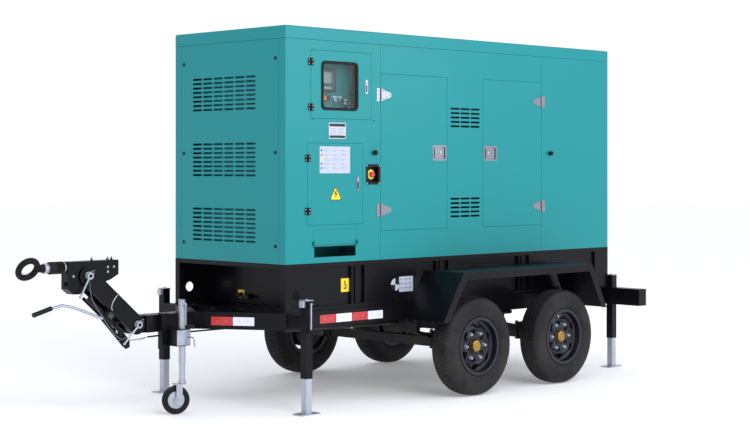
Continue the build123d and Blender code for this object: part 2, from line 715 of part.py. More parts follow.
for door_name, (side, hinge_x, free_x, reach) in big_doors.items():
    first = hinge_x + reach * 1
    last = free_x - reach * door_gap * 0.5
    dish_outer = free_x - reach * 8
    dish_inner = dish_outer - reach * latch_size[0]
    dish_low = latch_z - latch_size[1] / 2
    dish_high = latch_z + latch_size[1] / 2
    with BuildPart() as door:
        # folded pan
        block((first, last), (side_y(side, 0), side_y(side, door_depth)),
              (door_bottom, door_top))
        block((first + reach * 2, last - reach * 2), (side_y(side, 2), side_y(side, door_depth)),
              (door_bottom + 2, door_top - 2), mode=Mode.SUBTRACT)
        block((dish_inner + reach * 10, dish_outer - reach * 10),
              (side_y(side, -1), side_y(side, 3)), (dish_low + 10, dish_high - 10),
              mode=Mode.SUBTRACT)
        # latch dish: a flange on the skin and a cup behind it
        rounded_plate((dish_inner, dish_outer), (dish_low, dish_high),
                      (side_y(side, -weld_gap), side_y(side, -1.8)), 8)
        rounded_plate((dish_inner + reach * 12, dish_outer - reach * 12),
                      (dish_low + 12, dish_high - 12),
                      (side_y(side, -1.8), side_y(side, latch_dish_depth)), 6)
        rounded_plate((dish_inner + reach * 14, dish_outer - reach * 14),
                      (dish_low + 14, dish_high - 14),
                      (side_y(side, -2), side_y(side, latch_dish_depth - 2)), 5,
                      mode=Mode.SUBTRACT)
        # strap leaves with their knuckles
        for edge_x, strap_z, fixed_side in big_hinges:
            if edge_x != hinge_x:
                continue
            middle = strap_z + strap_height / 2
            leaf_y = (side_y(side, -weld_gap), side_y(side, -2.8))
            plate([(hinge_x + reach * 9, strap_z + 2), (hinge_x + reach * 40, strap_z + 14),
                   (hinge_x + reach * 106, middle - 16), (hinge_x + reach * 112, middle),
                   (hinge_x + reach * 106, middle + 16),
                   (hinge_x + reach * 40, strap_z + strap_height - 14),
                   (hinge_x + reach * 9, strap_z + strap_height - 2)], leaf_y)
            block((hinge_x + reach * 2, hinge_x + reach * 12), leaf_y,
                  (strap_z + 32.5, strap_z + 63.5))
            knuckle(hinge_x, (strap_z + 32.5, strap_z + 63.5), side)
            knuckle(hinge_x, (strap_z + 32.5, strap_z + 63.5), side, mode=Mode.SUBTRACT,
                    radius=hinge_pin_radius + running_fit)
    save(door, f"door_{door_name}")

    with BuildPart() as latch:
        paddle_middle = (dish_inner + dish_outer) / 2
        pivot = paddle_middle - reach * paddle_size[0] / 2
        swing = paddle_middle + reach * paddle_size[0] / 2
        low = latch_z - paddle_size[1] / 2
        high = latch_z + paddle_size[1] / 2
        rounded_plate((pivot, swing), (low, high), (side_y(side, 0), side_y(side, 3)), 6)
        block((pivot, pivot + reach * 5), (side_y(side, 1), side_y(side, 10)), (low, high))
        block((swing - reach * 18, swing - reach * 14), (side_y(side, 1), side_y(side, 9)),
              (low + 6, high - 6))
        bar((pivot + reach * 3, side_y(side, 7), low - 2.6),
            (pivot + reach * 3, side_y(side, 7), high + 2.6), 2.5)
    save(latch, f"latch_{door_name}")

# ---------------------------------------------------------------- small doors and cable flap
window_x = (nose + 350, nose + 700)
window_z = (base_top + 1103, base_top + 1440)


def small_door_pan(x, z, latch_middle):
    """A folded door pan on the control side, with its hinge leaves and a slim latch plate."""
    block((x[0] + 1, x[1]), (side_y(-1, 0), side_y(-1, 18)), z)
    block((x[0] + 3, x[1] - 2), (side_y(-1, 2), side_y(-1, 18)), (z[0] + 2, z[1] - 2),
          mode=Mode.SUBTRACT)
    for edge_x, low_z in small_hinges:
        if edge_x == x[0] and z[0] < low_z < z[1]:
            block((edge_x + 2, edge_x + 28), (side_y(-1, -weld_gap), side_y(-1, -3)),
                  (low_z + 17, low_z + 33))
            block((edge_x + 9, edge_x + 28), (side_y(-1, -weld_gap), side_y(-1, -3)),
                  (low_z, low_z + small_height))
            knuckle(edge_x, (low_z + 17, low_z + 33), -1)
            knuckle(edge_x, (low_z + 17, low_z + 33), -1, mode=Mode.SUBTRACT,
                    radius=hinge_pin_radius + running_fit)
    rounded_plate((x[1] - 62, x[1] - 37), (latch_middle - 50, latch_middle + 50),
                  (side_y(-1, -weld_gap), side_y(-1, -4)), 6)


with BuildPart() as control_door:
    small_door_pan(control_x, control_z, base_top + 1275)
    rounded_plate(window_x, window_z, (side_y(-1, -1), side_y(-1, 3)), 30, mode=Mode.SUBTRACT)
    # rubber surround clipped over the edge of the window, and the glass in it
    rounded_plate((window_x[0] - 8, window_x[1] + 8), (window_z[0] - 8, window_z[1] + 8),
                  (side_y(-1, -weld_gap), side_y(-1, -5)), 36)
    rounded_plate((window_x[0] + 0.5, window_x[1] - 0.5), (window_z[0] + 0.5, window_z[1] - 0.5),
                  (side_y(-1, -1), side_y(-1, 6)), 29)
    rounded_plate((window_x[0] + 12, window_x[1] - 12), (window_z[0] + 12, window_z[1] - 12),
                  (side_y(-1, -6), side_y(-1, 7)), 20, mode=Mode.SUBTRACT)
    rounded_plate((window_x[0] + 12.2, window_x[1] - 12.2),
                  (window_z[0] + 12.2, window_z[1] - 12.2), (side_y(-1, 0), side_y(-1, 4)), 19)

save(control_door, "control_door")

with BuildPart() as output_door:
    small_door_pan(output_x, output_z, base_top + 565)

save(output_door, "output_door")

with BuildPart() as cable_flap:
    block(flap_x, (side_y(-1, 0), side_y(-1, skin)), flap_z)
    block(flap_x, (side_y(-1, 0), side_y(-1, -18)), (flap_z[0], flap_z[0] + skin))
    for cheek_x in (flap_x[0], flap_x[1] - skin):
        plate([(cheek_x, flap_z[0]), (cheek_x + skin, flap_z[0]), (cheek_x + skin, flap_z[0] + 40),
               (cheek_x, flap_z[0] + 40)], (side_y(-1, 0), side_y(-1, -16)))

save(cable_flap, "cable_flap")

# ---------------------------------------------------------------- control cabinet
panel_depth = 110
cabinet_depth = 260
controller_x = (nose + 352, nose + 561)
controller_z = (base_top + 1231, base_top + 1397)
start_place = (nose + 578, base_top + 1171)
selector_place = (nose + 630, base_top + 1171)
key_place = (nose + 682, base_top + 1150)
button_bore = 11
estop_depth = 34

with BuildPart() as control_cabinet:
    upper_x = (nose + 226, nose + 838)
    upper_z = (base_top + 1010, base_top + 1560)
    lower_x = (nose + 150, nose + 780)
    lower_z = (base_top + 30, base_top + 1000)
    for x, z in ((upper_x, upper_z), (lower_x, lower_z)):
        wall_y = (side_y(-1, 26), side_y(-1, cabinet_depth))
        block(x, wall_y, z)
        block((x[0] + 2, x[1] - 2), (side_y(-1, 20), side_y(-1, cabinet_depth - 2)),
              (z[0] + 2, z[1] - 2), mode=Mode.SUBTRACT)
    # the cabinet is screwed to the canopy through four stand-off pads
    for pad_x in (upper_x[0] + 1, upper_x[1] - 13):
        for pad_z in (upper_z[0] - 1, upper_z[1] - 14):
            block((pad_x, pad_x + 12), (side_y(-1, skin + weld_gap), side_y(-1, 30)),
                  (pad_z, pad_z + 15))
    for pad_x in (lower_x[0] + 1, lower_x[1] - 13):
        for pad_z in (lower_z[0] + 1, lower_z[1] - 14):
            block((pad_x, pad_x + 12), (side_y(-1, skin + weld_gap), side_y(-1, 30)),
                  (pad_z, pad_z + 12))
    # instrument panel with the controller, selector body and switch bores
    panel_y = (side_y(-1, panel_depth), side_y(-1, panel_depth + 2))
    block((upper_x[0] + 2.3, upper_x[1] - 2.3), panel_y, (upper_z[0] + 2.3, upper_z[1] - 2.3))
    switch_y = (side_y(-1, panel_depth - 10), side_y(-1, panel_depth + 34))
    for place in (start_place, selector_place, key_place):
        bar((place[0], switch_y[0], place[1]), (place[0], switch_y[1], place[1]), 15)
    for place in (start_place, key_place):
        bar((place[0], switch_y[0], place[1]), (place[0], switch_y[1] - 4, place[1]),
            button_bore + running_fit, mode=Mode.SUBTRACT)
    rounded_plate(controller_x, controller_z,
                  (side_y(-1, panel_depth - 32), side_y(-1, panel_depth - weld_gap)), 12)
    bar((selector_place[0], switch_y[0] - 14, selector_place[1]),
        (selector_place[0], switch_y[0], selector_place[1]), 12)
    # recessed housing of the emergency stop, with a running bore for its stem
    rounded_plate((estop_place[0] - 73, estop_place[0] + 73),
                  (estop_place[1] - 75, estop_place[1] + 75),
                  (side_y(-1, -weld_gap), side_y(-1, -3)), 26)
    rounded_plate((estop_place[0] - 58, estop_place[0] + 58),
                  (estop_place[1] - 60, estop_place[1] + 60),
                  (side_y(-1, -1), side_y(-1, estop_depth)), 19)
    rounded_plate((estop_place[0] - 54, estop_place[0] + 54),
                  (estop_place[1] - 56, estop_place[1] + 56),
                  (side_y(-1, -4), side_y(-1, estop_depth - 3)), 16, mode=Mode.SUBTRACT)
    bar((estop_place[0], side_y(-1, estop_depth - 12), estop_place[1]),
        (estop_place[0], side_y(-1, estop_depth + 40), estop_place[1]), 17)
    bar((estop_place[0], side_y(-1, estop_depth - 13), estop_place[1]),
        (estop_place[0], side_y(-1, estop_depth + 36), estop_place[1]),
        button_bore + running_fit, mode=Mode.SUBTRACT)

save(control_cabinet, "control_cabinet")

with BuildPart() as estop_button:
    stem_face = side_y(-1, estop_depth - 12)
    turned([(-26, 0), (-26, 10), (-22, 18), (-14, 20), (-8, 20), (-4, 12), (-4, button_bore),
            (24, button_bore), (24, 0)],
           (estop_place[0], stem_face, estop_place[1]), (0, 1, 0))

save(estop_button, "estop_button")

with BuildPart() as start_button:
    turned([(-9, 0), (-9, 11), (-7, 13), (-4, 13), (-4, button_bore), (20, button_bore), (20, 0)],
           (start_place[0], switch_y[0], start_place[1]), (0, 1, 0))

save(start_button, "start_button")

with BuildPart() as key_switch:
    turned([(-5, 0), (-5, 9), (-3, button_bore), (20, button_bore), (20, 0)],
           (key_place[0], switch_y[0], key_place[1]), (0, 1, 0))
    block((key_place[0] - 1.2, key_place[0] + 1.2), (switch_y[0] - 34, switch_y[0] - 4),
          (key_place[1] - 5, key_place[1] + 5))
    bar((key_place[0] - 1.5, switch_y[0] - 40, key_place[1]),
        (key_place[0] + 1.5, switch_y[0] - 40, key_place[1]), 13)
    bar((key_place[0] - 2, switch_y[0] - 45, key_place[1]),
        (key_place[0] + 2, switch_y[0] - 45, key_place[1]), 4, mode=Mode.SUBTRACT)

save(key_switch, "key_switch")

with BuildPart() as circuit_breaker:
    back = side_y(-1, cabinet_depth - 2) - weld_gap
    breaker_x = (nose + 380, nose + 560)
    breaker_z = (base_top + 480, base_top + 760)
    block(breaker_x, (back, back - 90), breaker_z)
    block((breaker_x[0] + 20, breaker_x[1] - 20), (back - 90, back - 104),
          (breaker_z[0] + 60, breaker_z[1] - 60))
    block((breaker_x[0] + 75, breaker_x[1] - 75), (back - 104, back - 130),
          (breaker_z[0] + 120, breaker_z[1] - 120))
    # output bars below the breaker, on an insulating strip
    strip_z = breaker_z[0] - 220
    block((breaker_x[0] - 70, breaker_x[1] + 70), (back, back - 40), (strip_z, strip_z + 50))
    for place in range(5):
        lug_x = breaker_x[0] - 40 + place * 65
        block((lug_x - 15, lug_x + 15), (back - 40, back - 48), (strip_z - 60, strip_z + 40))
        bar((lug_x, back - 48, strip_z - 35), (lug_x, back - 66, strip_z - 35), 6)

save(circuit_breaker, "circuit_breaker")

# ---------------------------------------------------------------- engine, alternator, cooling
shaft_z = deck_top + skid_height + 350
radiator_x = tail - 740
fan_x = radiator_x - 70
engine_rear = fan_x - 55
engine_front = engine_rear - 900
bell_length = 110
alternator_length = 620
foot_top = deck_top + skid_height + 50
mount_top = deck_top + skid_height + 40

with BuildPart() as engine:
    # cylinder block with six bores, sump, head, rocker cover, bell housing and timing case
    block((engine_front, engine_rear - 60), (-170, 170), (shaft_z - 60, shaft_z + 290))
    for cylinder in range(6):
        bore_x = engine_front + 85 + cylinder * 134
        bar((bore_x, 0, shaft_z - 61), (bore_x, 0, shaft_z + 291), 52, mode=Mode.SUBTRACT)
    block((engine_front + 30, engine_rear - 90), (-160, 160), (shaft_z - 190, shaft_z - 60))
    block((engine_front + 34, engine_rear - 94), (-156, 156), (shaft_z - 186, shaft_z - 61),
          mode=Mode.SUBTRACT)
    block((engine_front, engine_rear - 60), (-150, 150), (shaft_z + 290, shaft_z + 370))
    block((engine_front + 40, engine_rear - 100), (-90, 90), (shaft_z + 370, shaft_z + 450))
    block((engine_front + 44, engine_rear - 104), (-86, 86), (shaft_z + 371, shaft_z + 446),
          mode=Mode.SUBTRACT)
    block((engine_rear - 60, engine_rear), (-190, 190), (shaft_z - 90, shaft_z + 300))
    bar((engine_rear, 0, shaft_z + 110), (engine_rear + 8, 0, shaft_z + 110), 60)
    bar((engine_rear - 50, 0, shaft_z + 110), (engine_rear + 9, 0, shaft_z + 110),
        20 + running_fit, mode=Mode.SUBTRACT)
    turned([(0, 60), (0, 290), (-bell_length, 290), (-bell_length, 270), (-20, 270), (-20, 60)],
           (engine_front, 0, shaft_z), (1, 0, 0))
    # exhaust manifold on one side, intake and air cleaner on the other
    block((engine_front + 60, engine_rear - 120), (150, 240), (shaft_z + 295, shaft_z + 355))
    block((engine_front + 60, engine_rear - 120), (-150, -220), (shaft_z + 295, shaft_z + 355))
    bar((engine_front + 120, -330, shaft_z + 420), (engine_front + 560, -330, shaft_z + 420), 105)
    bar((engine_front + 300, -200, shaft_z + 340), (engine_front + 300, -300, shaft_z + 400), 40)
    # filters and the four feet
    for filter_x in (engine_front + 200, engine_front + 330):
        bar((filter_x, 215, shaft_z - 20), (filter_x, 215, shaft_z + 160), 48)
        block((filter_x - 25, filter_x + 25), (165, 200), (shaft_z + 110, shaft_z + 150))
    for side in sides.values():
        for foot_x in (engine_front + 60, engine_rear - 160):
            block((foot_x, foot_x + 90), (side * 165, side * 310), (foot_top, foot_top + 14))
            block((foot_x + 38, foot_x + 52), (side * 165, side * 300), (foot_top, shaft_z - 20))
            bar((foot_x + 45, side * 280, mount_top - 39.7), (foot_x + 45, side * 280, foot_top),
                34)

save(engine, "engine")

with BuildPart() as alternator:
    rear_face = engine_front - bell_length - weld_gap
    turned([(0, 0), (0, 285), (30, 285), (30, 262), (alternator_length - 60, 262),
            (alternator_length - 30, 240), (alternator_length, 200), (alternator_length, 0),
            (alternator_length - 25, 0), (alternator_length - 25, 190),
            (alternator_length - 70, 236), (40, 236), (40, 0)],
           (rear_face, 0, shaft_z), (-1, 0, 0))
    # rotor shaft and core
    bar((rear_face - 40, 0, shaft_z), (rear_face - alternator_length + 25, 0, shaft_z), 45)
    # terminal box
    block((rear_face - 480, rear_face - 140), (-190, 190), (shaft_z + 225, shaft_z + 360))
    for side in sides.values():
        for foot_x in (rear_face - 520, rear_face - 180):
            block((foot_x, foot_x + 90), (side * 170, side * 310), (foot_top, foot_top + 14))
            block((foot_x + 38, foot_x + 52), (side * 150, side * 300),
                  (foot_top, shaft_z - 150))
            bar((foot_x + 45, side * 280, mount_top - 39.7), (foot_x + 45, side * 280, foot_top),
                34)

save(alternator, "alternator")

fan_radius = 300

with BuildPart() as cooling_fan:
    fan_centre = (fan_x, 0, shaft_z + 110)
    turned([(-90, 0), (-90, 20), (-40, 20), (-40, 80), (25, 80), (25, 0)], fan_centre, (1, 0, 0))
    for blade in range(8):
        angle = blade * 45
        with Locations(Location(fan_centre, (angle, 0, 0))):
            with Locations(Location((-5, 0, 185), (0, 0, 35))):
                Box(6, 92, 2 * (fan_radius - 185))

save(cooling_fan, "cooling_fan")

with BuildPart() as radiator:
    core_y = (-430, 430)
    core_z = (deck_top + 60, shaft_z + 640)
    block((radiator_x, radiator_x + 75), core_y, core_z)
    block((radiator_x - 10, radiator_x + 85), (core_y[0] - 10, core_y[1] + 10),
          (core_z[1], core_z[1] + 80))
    block((radiator_x - 10, radiator_x + 85), (core_y[0] - 10, core_y[1] + 10),
          (deck_top + weld_gap, core_z[0]))
    for side in sides.values():
        block((radiator_x - 10, radiator_x + 85), (side * 430, side * 455),
              (deck_top + weld_gap, core_z[1] + 80))
    # fan cowl
    turned([(0, 310), (0, 420), (-4, 420), (-10, 316), (-90, 316), (-90, 310)],
           (radiator_x - weld_gap, 0, shaft_z + 110), (1, 0, 0))
    # filler neck
    bar((radiator_x + 38, 0, core_z[1] + 80), (radiator_x + 38, 0, core_z[1] + 110), 30)

save(radiator, "radiator")

silencer_z = roof_top - 260
silencer_y = 240

with BuildPart() as silencer:
    can = (tail - 1800, silencer_y, silencer_z)
    turned([(0, 0), (0, 100), (30, 150), (970, 150), (1000, 100), (1000, 0), (996, 0), (996, 97),
            (967, 146), (33, 146), (4, 97), (4, 0)], can, (1, 0, 0))
    # straps up to the roof stiffeners
    for strap_x in (tail - 1730, tail - 930):
        block((strap_x - 18, strap_x + 18), (silencer_y - 20, silencer_y + 20),
              (silencer_z + 149, roof_top - 40 - weld_gap))
    # down pipe from the manifold and tail pipe into the outlet chamber
    bar((engine_front + 400, 200, shaft_z + 355.3), (engine_front + 400, 200, silencer_z - 135),
        40)
    bar((can[0] + 1000, silencer_y, silencer_z), (can[0] + 1120, silencer_y, silencer_z), 45)
    bar((can[0] + 999, silencer_y, silencer_z), (can[0] + 1121, silencer_y, silencer_z), 41,
        mode=Mode.SUBTRACT)

save(silencer, "silencer")

with BuildPart() as battery:
    for row in range(2):
        low_x = nose + 640 + row * 290
        block((low_x, low_x + 270), (380, 555), (deck_top + weld_gap, deck_top + 190))
        block((low_x - 4, low_x + 274), (376, 559), (deck_top + 190, deck_top + 205))
        for post_x in (low_x + 50, low_x + 220):
            bar((post_x, 420, deck_top + 205), (post_x, 420, deck_top + 222), 9)

save(battery, "battery")

# ---------------------------------------------------------------- jockey wheel
jockey_top = rail_top + 104
jockey_bottom = rail_bottom - 216
jockey_leg_radius = 20.9
jockey_bore = jockey_leg_radius + running_fit
jockey_wheel_radius = 100
jockey_trail = 46
jockey_swivel = 160
fork_top = 224

with BuildPart() as jockey_tube:
    bar((jockey_x, jockey_y, jockey_bottom), (jockey_x, jockey_y, jockey_top), jockey_tube_radius)
    bar((jockey_x, jockey_y, jockey_bottom - 1), (jockey_x, jockey_y, jockey_top - 6),
        jockey_bore, mode=Mode.SUBTRACT)
    boss = (jockey_x, jockey_y - jockey_tube_radius + 1, jockey_top - 34)
    bar(boss, shifted(boss, (0, -1, 0), 12), 14)
    bar(shifted(boss, (0, 1, 0), 0.5), shifted(boss, (0, -1, 0), 12), 7 + running_fit,
        mode=Mode.SUBTRACT)

save(jockey_tube, "jockey_tube")

with BuildPart() as jockey_leg:
    bar((jockey_x, jockey_y, fork_top + 12), (jockey_x, jockey_y, rail_bottom + 60),
        jockey_leg_radius)
    bar((jockey_x, jockey_y, fork_top + 11), (jockey_x, jockey_y, rail_bottom + 61),
        jockey_leg_radius - 4, mode=Mode.SUBTRACT)

save(jockey_leg, "jockey_leg")

trail_way = (math.cos(math.radians(jockey_swivel)), math.sin(math.radians(jockey_swivel)), 0)
wheel_axis = (-trail_way[1], trail_way[0], 0)
jockey_hub = (jockey_x + trail_way[0] * jockey_trail, jockey_y + trail_way[1] * jockey_trail,
              jockey_wheel_radius)

with BuildPart() as jockey_fork:
    bar((jockey_x, jockey_y, fork_top - 12), (jockey_x, jockey_y, fork_top + 11.7), 26)
    bar((jockey_x, jockey_y, fork_top - 12), (jockey_x, jockey_y, fork_top + 60),
        jockey_leg_radius - 4 - running_fit)
    fork_plane = Plane(origin=(jockey_x, jockey_y, 0), x_dir=trail_way, z_dir=(0, 0, 1))
    with Locations(fork_plane.location):
        with Locations((jockey_trail / 2, 0, fork_top - 14.5)):
            Box(84, 72, 5)
        for cheek in (-33.5, 33.5):
            with Locations((jockey_trail / 2 + 6, cheek, fork_top / 2 + 26)):
                Box(44, 5, fork_top - 85)
            with Locations(Location((jockey_trail, cheek, jockey_wheel_radius), (90, 0, 0))):
                Cylinder(22, 5)
    bar(shifted(jockey_hub, wheel_axis, -42), shifted(jockey_hub, wheel_axis, 42), 8)

save(jockey_fork, "jockey_fork")

with BuildPart() as jockey_wheel:
    turned([(-29, 8 + running_fit), (-29, 20), (-12, 22), (-12, 62), (-22, 66), (-25, 82),
            (-18, 96), (0, jockey_wheel_radius), (18, 96), (25, 82), (22, 66), (12, 62),
            (12, 22), (29, 20), (29, 8 + running_fit)], jockey_hub, wheel_axis)

save(jockey_wheel, "jockey_wheel")

with BuildPart() as jockey_crank:
    hub_end = shifted(boss, (0, -1, 0), 20)
    elbow = (hub_end[0], hub_end[1], hub_end[2] - 150)
    bar(shifted(boss, (0, -1, 0), 0.5), shifted(boss, (0, -1, 0), 26), 7)
    bar(hub_end, elbow, 5)
    bar(shifted(elbow, (0, 1, 0), 6.5), shifted(elbow, (0, -1, 0), 8), 6.5)
    bar(shifted(elbow, (0, -1, 0), 8), shifted(elbow, (0, -1, 0), 90), 12)

save(jockey_crank, "jockey_crank")

# ---------------------------------------------------------------- drawbar arm and coupling head
cheek_inner = 43
cheek_outer = 55
arm_over = 58
arm_under = 75
boss_radius = 72
head_x = pivot_x - pivot_to_pivot
lean = math.radians(arm_angle)


def on_arm(s, t):
    """X and Z of a point s along the arm from its rear pivot and t above its middle line."""
    x = pivot_x - s * math.cos(lean) + t * math.sin(lean)
    z = pivot_z + s * math.sin(lean) + t * math.cos(lean)
    return (x, z)


with BuildPart() as drawbar_arm:
    for side in sides.values():
        cheek = (side * cheek_inner, side * cheek_outer)
        plate([on_arm(0, -arm_under + 6), on_arm(arm_length, -arm_under + 6),
               on_arm(arm_length, arm_over), on_arm(0, arm_over)], cheek)
        for s in (0, arm_length):
            x, z = on_arm(s, -6)
            bar((x, cheek[0], z), (x, cheek[1], z), arm_under - 11)
    # webs that join the cheeks
    for t in (-arm_under + 12, arm_over - 12):
        plate([on_arm(112, t - 6), on_arm(255, t - 6), on_arm(255, t + 6), on_arm(112, t + 6)],
              (-cheek_outer, cheek_outer))
    # the two pivot pins, with the studs that the lock handles turn on
    for s in (0, arm_length):
        x, z = on_arm(s, 0)
        bar((x, -cheek_outer, z), (x, cheek_outer + 12, z), pin_radius)
        bar((x, -cheek_outer, z), (x, -cheek_outer - 26, z), 12)
    # brake bars under the arm and their bracket
    for bar_y in (-26, 26):
        plate([on_arm(70, -122), on_arm(430, -122), on_arm(430, -100), on_arm(70, -100)],
              (bar_y - 5, bar_y + 5))
    for s in (130, 240):
        plate([on_arm(s - 12, -120), on_arm(s + 12, -120), on_arm(s + 12, -60),
               on_arm(s - 12, -60)], (-38, 38))
    plate([on_arm(120, -112), on_arm(56, -152), on_arm(-40, -180), on_arm(-60, -150),
           on_arm(-30, -118), on_arm(70, -100)], (-36, -28))

save(drawbar_arm, "drawbar_arm")

head_rear = head_x + 254
head_top = head_height + 98
shaft_height = head_height + 60
shaft_radius = 25
head_front = head_x - 155

with BuildPart() as coupling_head:
    plate([(head_front, head_top), (head_rear, head_top), (head_rear, head_height),
           (head_rear - 65, head_height - 34), (head_rear - 160, head_height - 60),
           (head_x - 20, head_height - 100), (head_x - 60, head_height - 122),
           (head_x - 112, head_height - 121), (head_front, head_height - 86)],
          (-tongue_half, tongue_half))
    bar((head_x, -50, head_height), (head_x, 50, head_height), pin_radius + running_fit,
        mode=Mode.SUBTRACT)
    bar((head_front - 1, 0, shaft_height), (head_x + 60, 0, shaft_height),
        shaft_radius + running_fit, mode=Mode.SUBTRACT)
    # lightening pocket in the rear of the head
    block((head_x + 80, head_rear - 8), (-tongue_half + 8, tongue_half - 8),
          (head_height + 8, head_top - 8), mode=Mode.SUBTRACT)
    # flange that the gaiter is clamped on
    turned([(0, shaft_radius + running_fit), (0, 40), (-10, 40), (-10, shaft_radius + running_fit)],
           (head_front, 0, shaft_height), (1, 0, 0))
    # grease nipples on top and the nut in front
    for nipple_x in (head_x + 60, head_x + 190, head_x + 222):
        bar((nipple_x, 0, head_top), (nipple_x, 0, head_top + 12), 8)
    bar((head_front, 0, head_height - 52), (head_front - 16, 0, head_height - 52), 14)

save(coupling_head, "coupling_head")

ring_x = head_x - ring_ahead
overrun = 40

with BuildPart() as tow_eye:
    bar((ring_x + 112, 0, shaft_height), (head_x + 10, 0, shaft_height), shaft_radius)
    turned([(0, 0), (0, 22), (60, 34), (66, shaft_radius), (66, 0)],
           (ring_x + ring_radius + ring_stock - 12, 0, shaft_height), (1, 0, 0))
    tilt = math.radians(ring_roll)
    ring_plane = Plane(origin=(ring_x, 0, shaft_height), x_dir=(1, 0, 0),
                       z_dir=(0, math.cos(tilt), math.sin(tilt)))
    with Locations(ring_plane.location):
        Torus(ring_radius, ring_stock)

save(tow_eye, "tow_eye")

gaiter_front = head_front - 138
gaiter_bore = shaft_radius + 0.4

with BuildPart() as gaiter:
    ribs = []
    rib_count = 6
    for rib in range(rib_count):
        start = 54 + rib * 12
        ribs.append((start, 42))
        ribs.append((start + 6, 36))
    turned([(0, gaiter_bore), (0, 32), (6, 38), (14, 42)] + ribs
           + [(127.5, 40), (127.5, gaiter_bore)],
           (gaiter_front, 0, shaft_height), (1, 0, 0))

save(gaiter, "gaiter")

handle_plane = -cheek_outer - 15

for handle_name, s, tip in (("front", arm_length, (-79, -145)), ("rear", 0, (-126, -123))):
    x, z = on_arm(s, 0)
    with BuildPart() as handle:
        bar((x, -cheek_outer - 3, z), (x, -cheek_outer - 24, z), 24)
        bar((x, handle_plane, z), (x + tip[0], handle_plane, z + tip[1]), 7)
        bar((x, -cheek_outer, z), (x, -cheek_outer - 30, z), 12 + running_fit,
            mode=Mode.SUBTRACT)
    save(handle, f"lock_handle_{handle_name}")

lever_pivot = on_arm(-40, -160)
lever_y = -20

with BuildPart() as brake_lever:
    route = [
        on_arm(135, -146), on_arm(243, -137), (pivot_x - 420, pivot_z + 115),
        (pivot_x - 517, pivot_z + 149), (pivot_x - 593, pivot_z + 165),
        (pivot_x - 678, pivot_z + 151),
    ]
    grip_end = (pivot_x - 818, pivot_z + 113)
    plate([on_arm(-55, -172), on_arm(-30, -148), on_arm(150, -132), on_arm(250, -126),
           on_arm(250, -148), on_arm(130, -160), on_arm(-20, -176)],
          (lever_y - 5, lever_y + 5))
    for first_point, last_point in zip(route[1:-1], route[2:]):
        bar((first_point[0], lever_y, first_point[1]), (last_point[0], lever_y, last_point[1]),
            10)
        with Locations((last_point[0], lever_y, last_point[1])):
            Sphere(10.8)
    bar((route[-1][0], lever_y, route[-1][1]), (grip_end[0], lever_y, grip_end[1]), 16)
    bar((lever_pivot[0], lever_y - 7.5, lever_pivot[1]), (lever_pivot[0], lever_y + 14,
        lever_pivot[1]), 9)

save(brake_lever, "brake_lever")
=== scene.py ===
# %% [markdown]
# A towable diesel generator is a sheet-steel canopy on a black trailer. The engineering part
# gives every plate, tube and hinge in its true place. This script adds what the part leaves
# out: paint, tread, bolts, labels, keys and wear. The frame is loaded first, so that every
# later size can be read from it.
# %% load the frame
import math
import bmesh
import bpy
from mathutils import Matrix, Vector


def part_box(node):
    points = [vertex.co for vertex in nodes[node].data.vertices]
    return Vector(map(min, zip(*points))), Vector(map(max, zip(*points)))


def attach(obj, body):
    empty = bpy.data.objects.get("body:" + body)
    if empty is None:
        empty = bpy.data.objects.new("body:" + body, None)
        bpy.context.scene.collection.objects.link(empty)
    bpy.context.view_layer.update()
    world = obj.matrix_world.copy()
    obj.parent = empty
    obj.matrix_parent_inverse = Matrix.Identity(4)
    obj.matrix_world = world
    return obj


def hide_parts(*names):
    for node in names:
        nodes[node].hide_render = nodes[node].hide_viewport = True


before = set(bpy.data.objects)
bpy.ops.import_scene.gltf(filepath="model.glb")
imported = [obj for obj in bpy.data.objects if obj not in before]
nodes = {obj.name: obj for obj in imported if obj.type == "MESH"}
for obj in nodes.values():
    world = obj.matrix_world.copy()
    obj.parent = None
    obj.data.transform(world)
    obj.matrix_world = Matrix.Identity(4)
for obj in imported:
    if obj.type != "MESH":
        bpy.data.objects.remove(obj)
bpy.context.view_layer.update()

roof_low, roof_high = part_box("canopy_roof")
NOSE, TAIL = roof_low[0], roof_high[0]
SIDE = -roof_low[1]
print("nodes", len(nodes), "canopy from", round(NOSE, 3), "to", round(TAIL, 3))

# %% [markdown]
# Colours are easiest to choose as screen values, but a renderer works with linear light, so
# one function turns a hex colour into linear numbers. A second one adds any shader node with
# its settings and its links. With these two, each material reads as a short recipe.
# %% colours and shader nodes
def linear(code):
    """The linear colour for an sRGB hex code."""
    parts = [int(code[i:i + 2], 16) / 255 for i in (0, 2, 4)]
    return [c / 12.92 if c <= 0.04045 else ((c + 0.055) / 1.055) ** 2.4 for c in parts] + [1]


def add(tree, kind, settings=(), inputs=()):
    """Adds a shader node. An input is a value, or a socket to link from."""
    made = tree.nodes.new(kind)
    for key, value in dict(settings).items():
        setattr(made, key, value)
    for key, value in dict(inputs).items():
        if isinstance(value, bpy.types.NodeSocket):
            tree.links.new(value, made.inputs[key])
        else:
            made.inputs[key].default_value = value
    return made


print("teal in linear light", [round(c, 3) for c in linear("048A8E")])

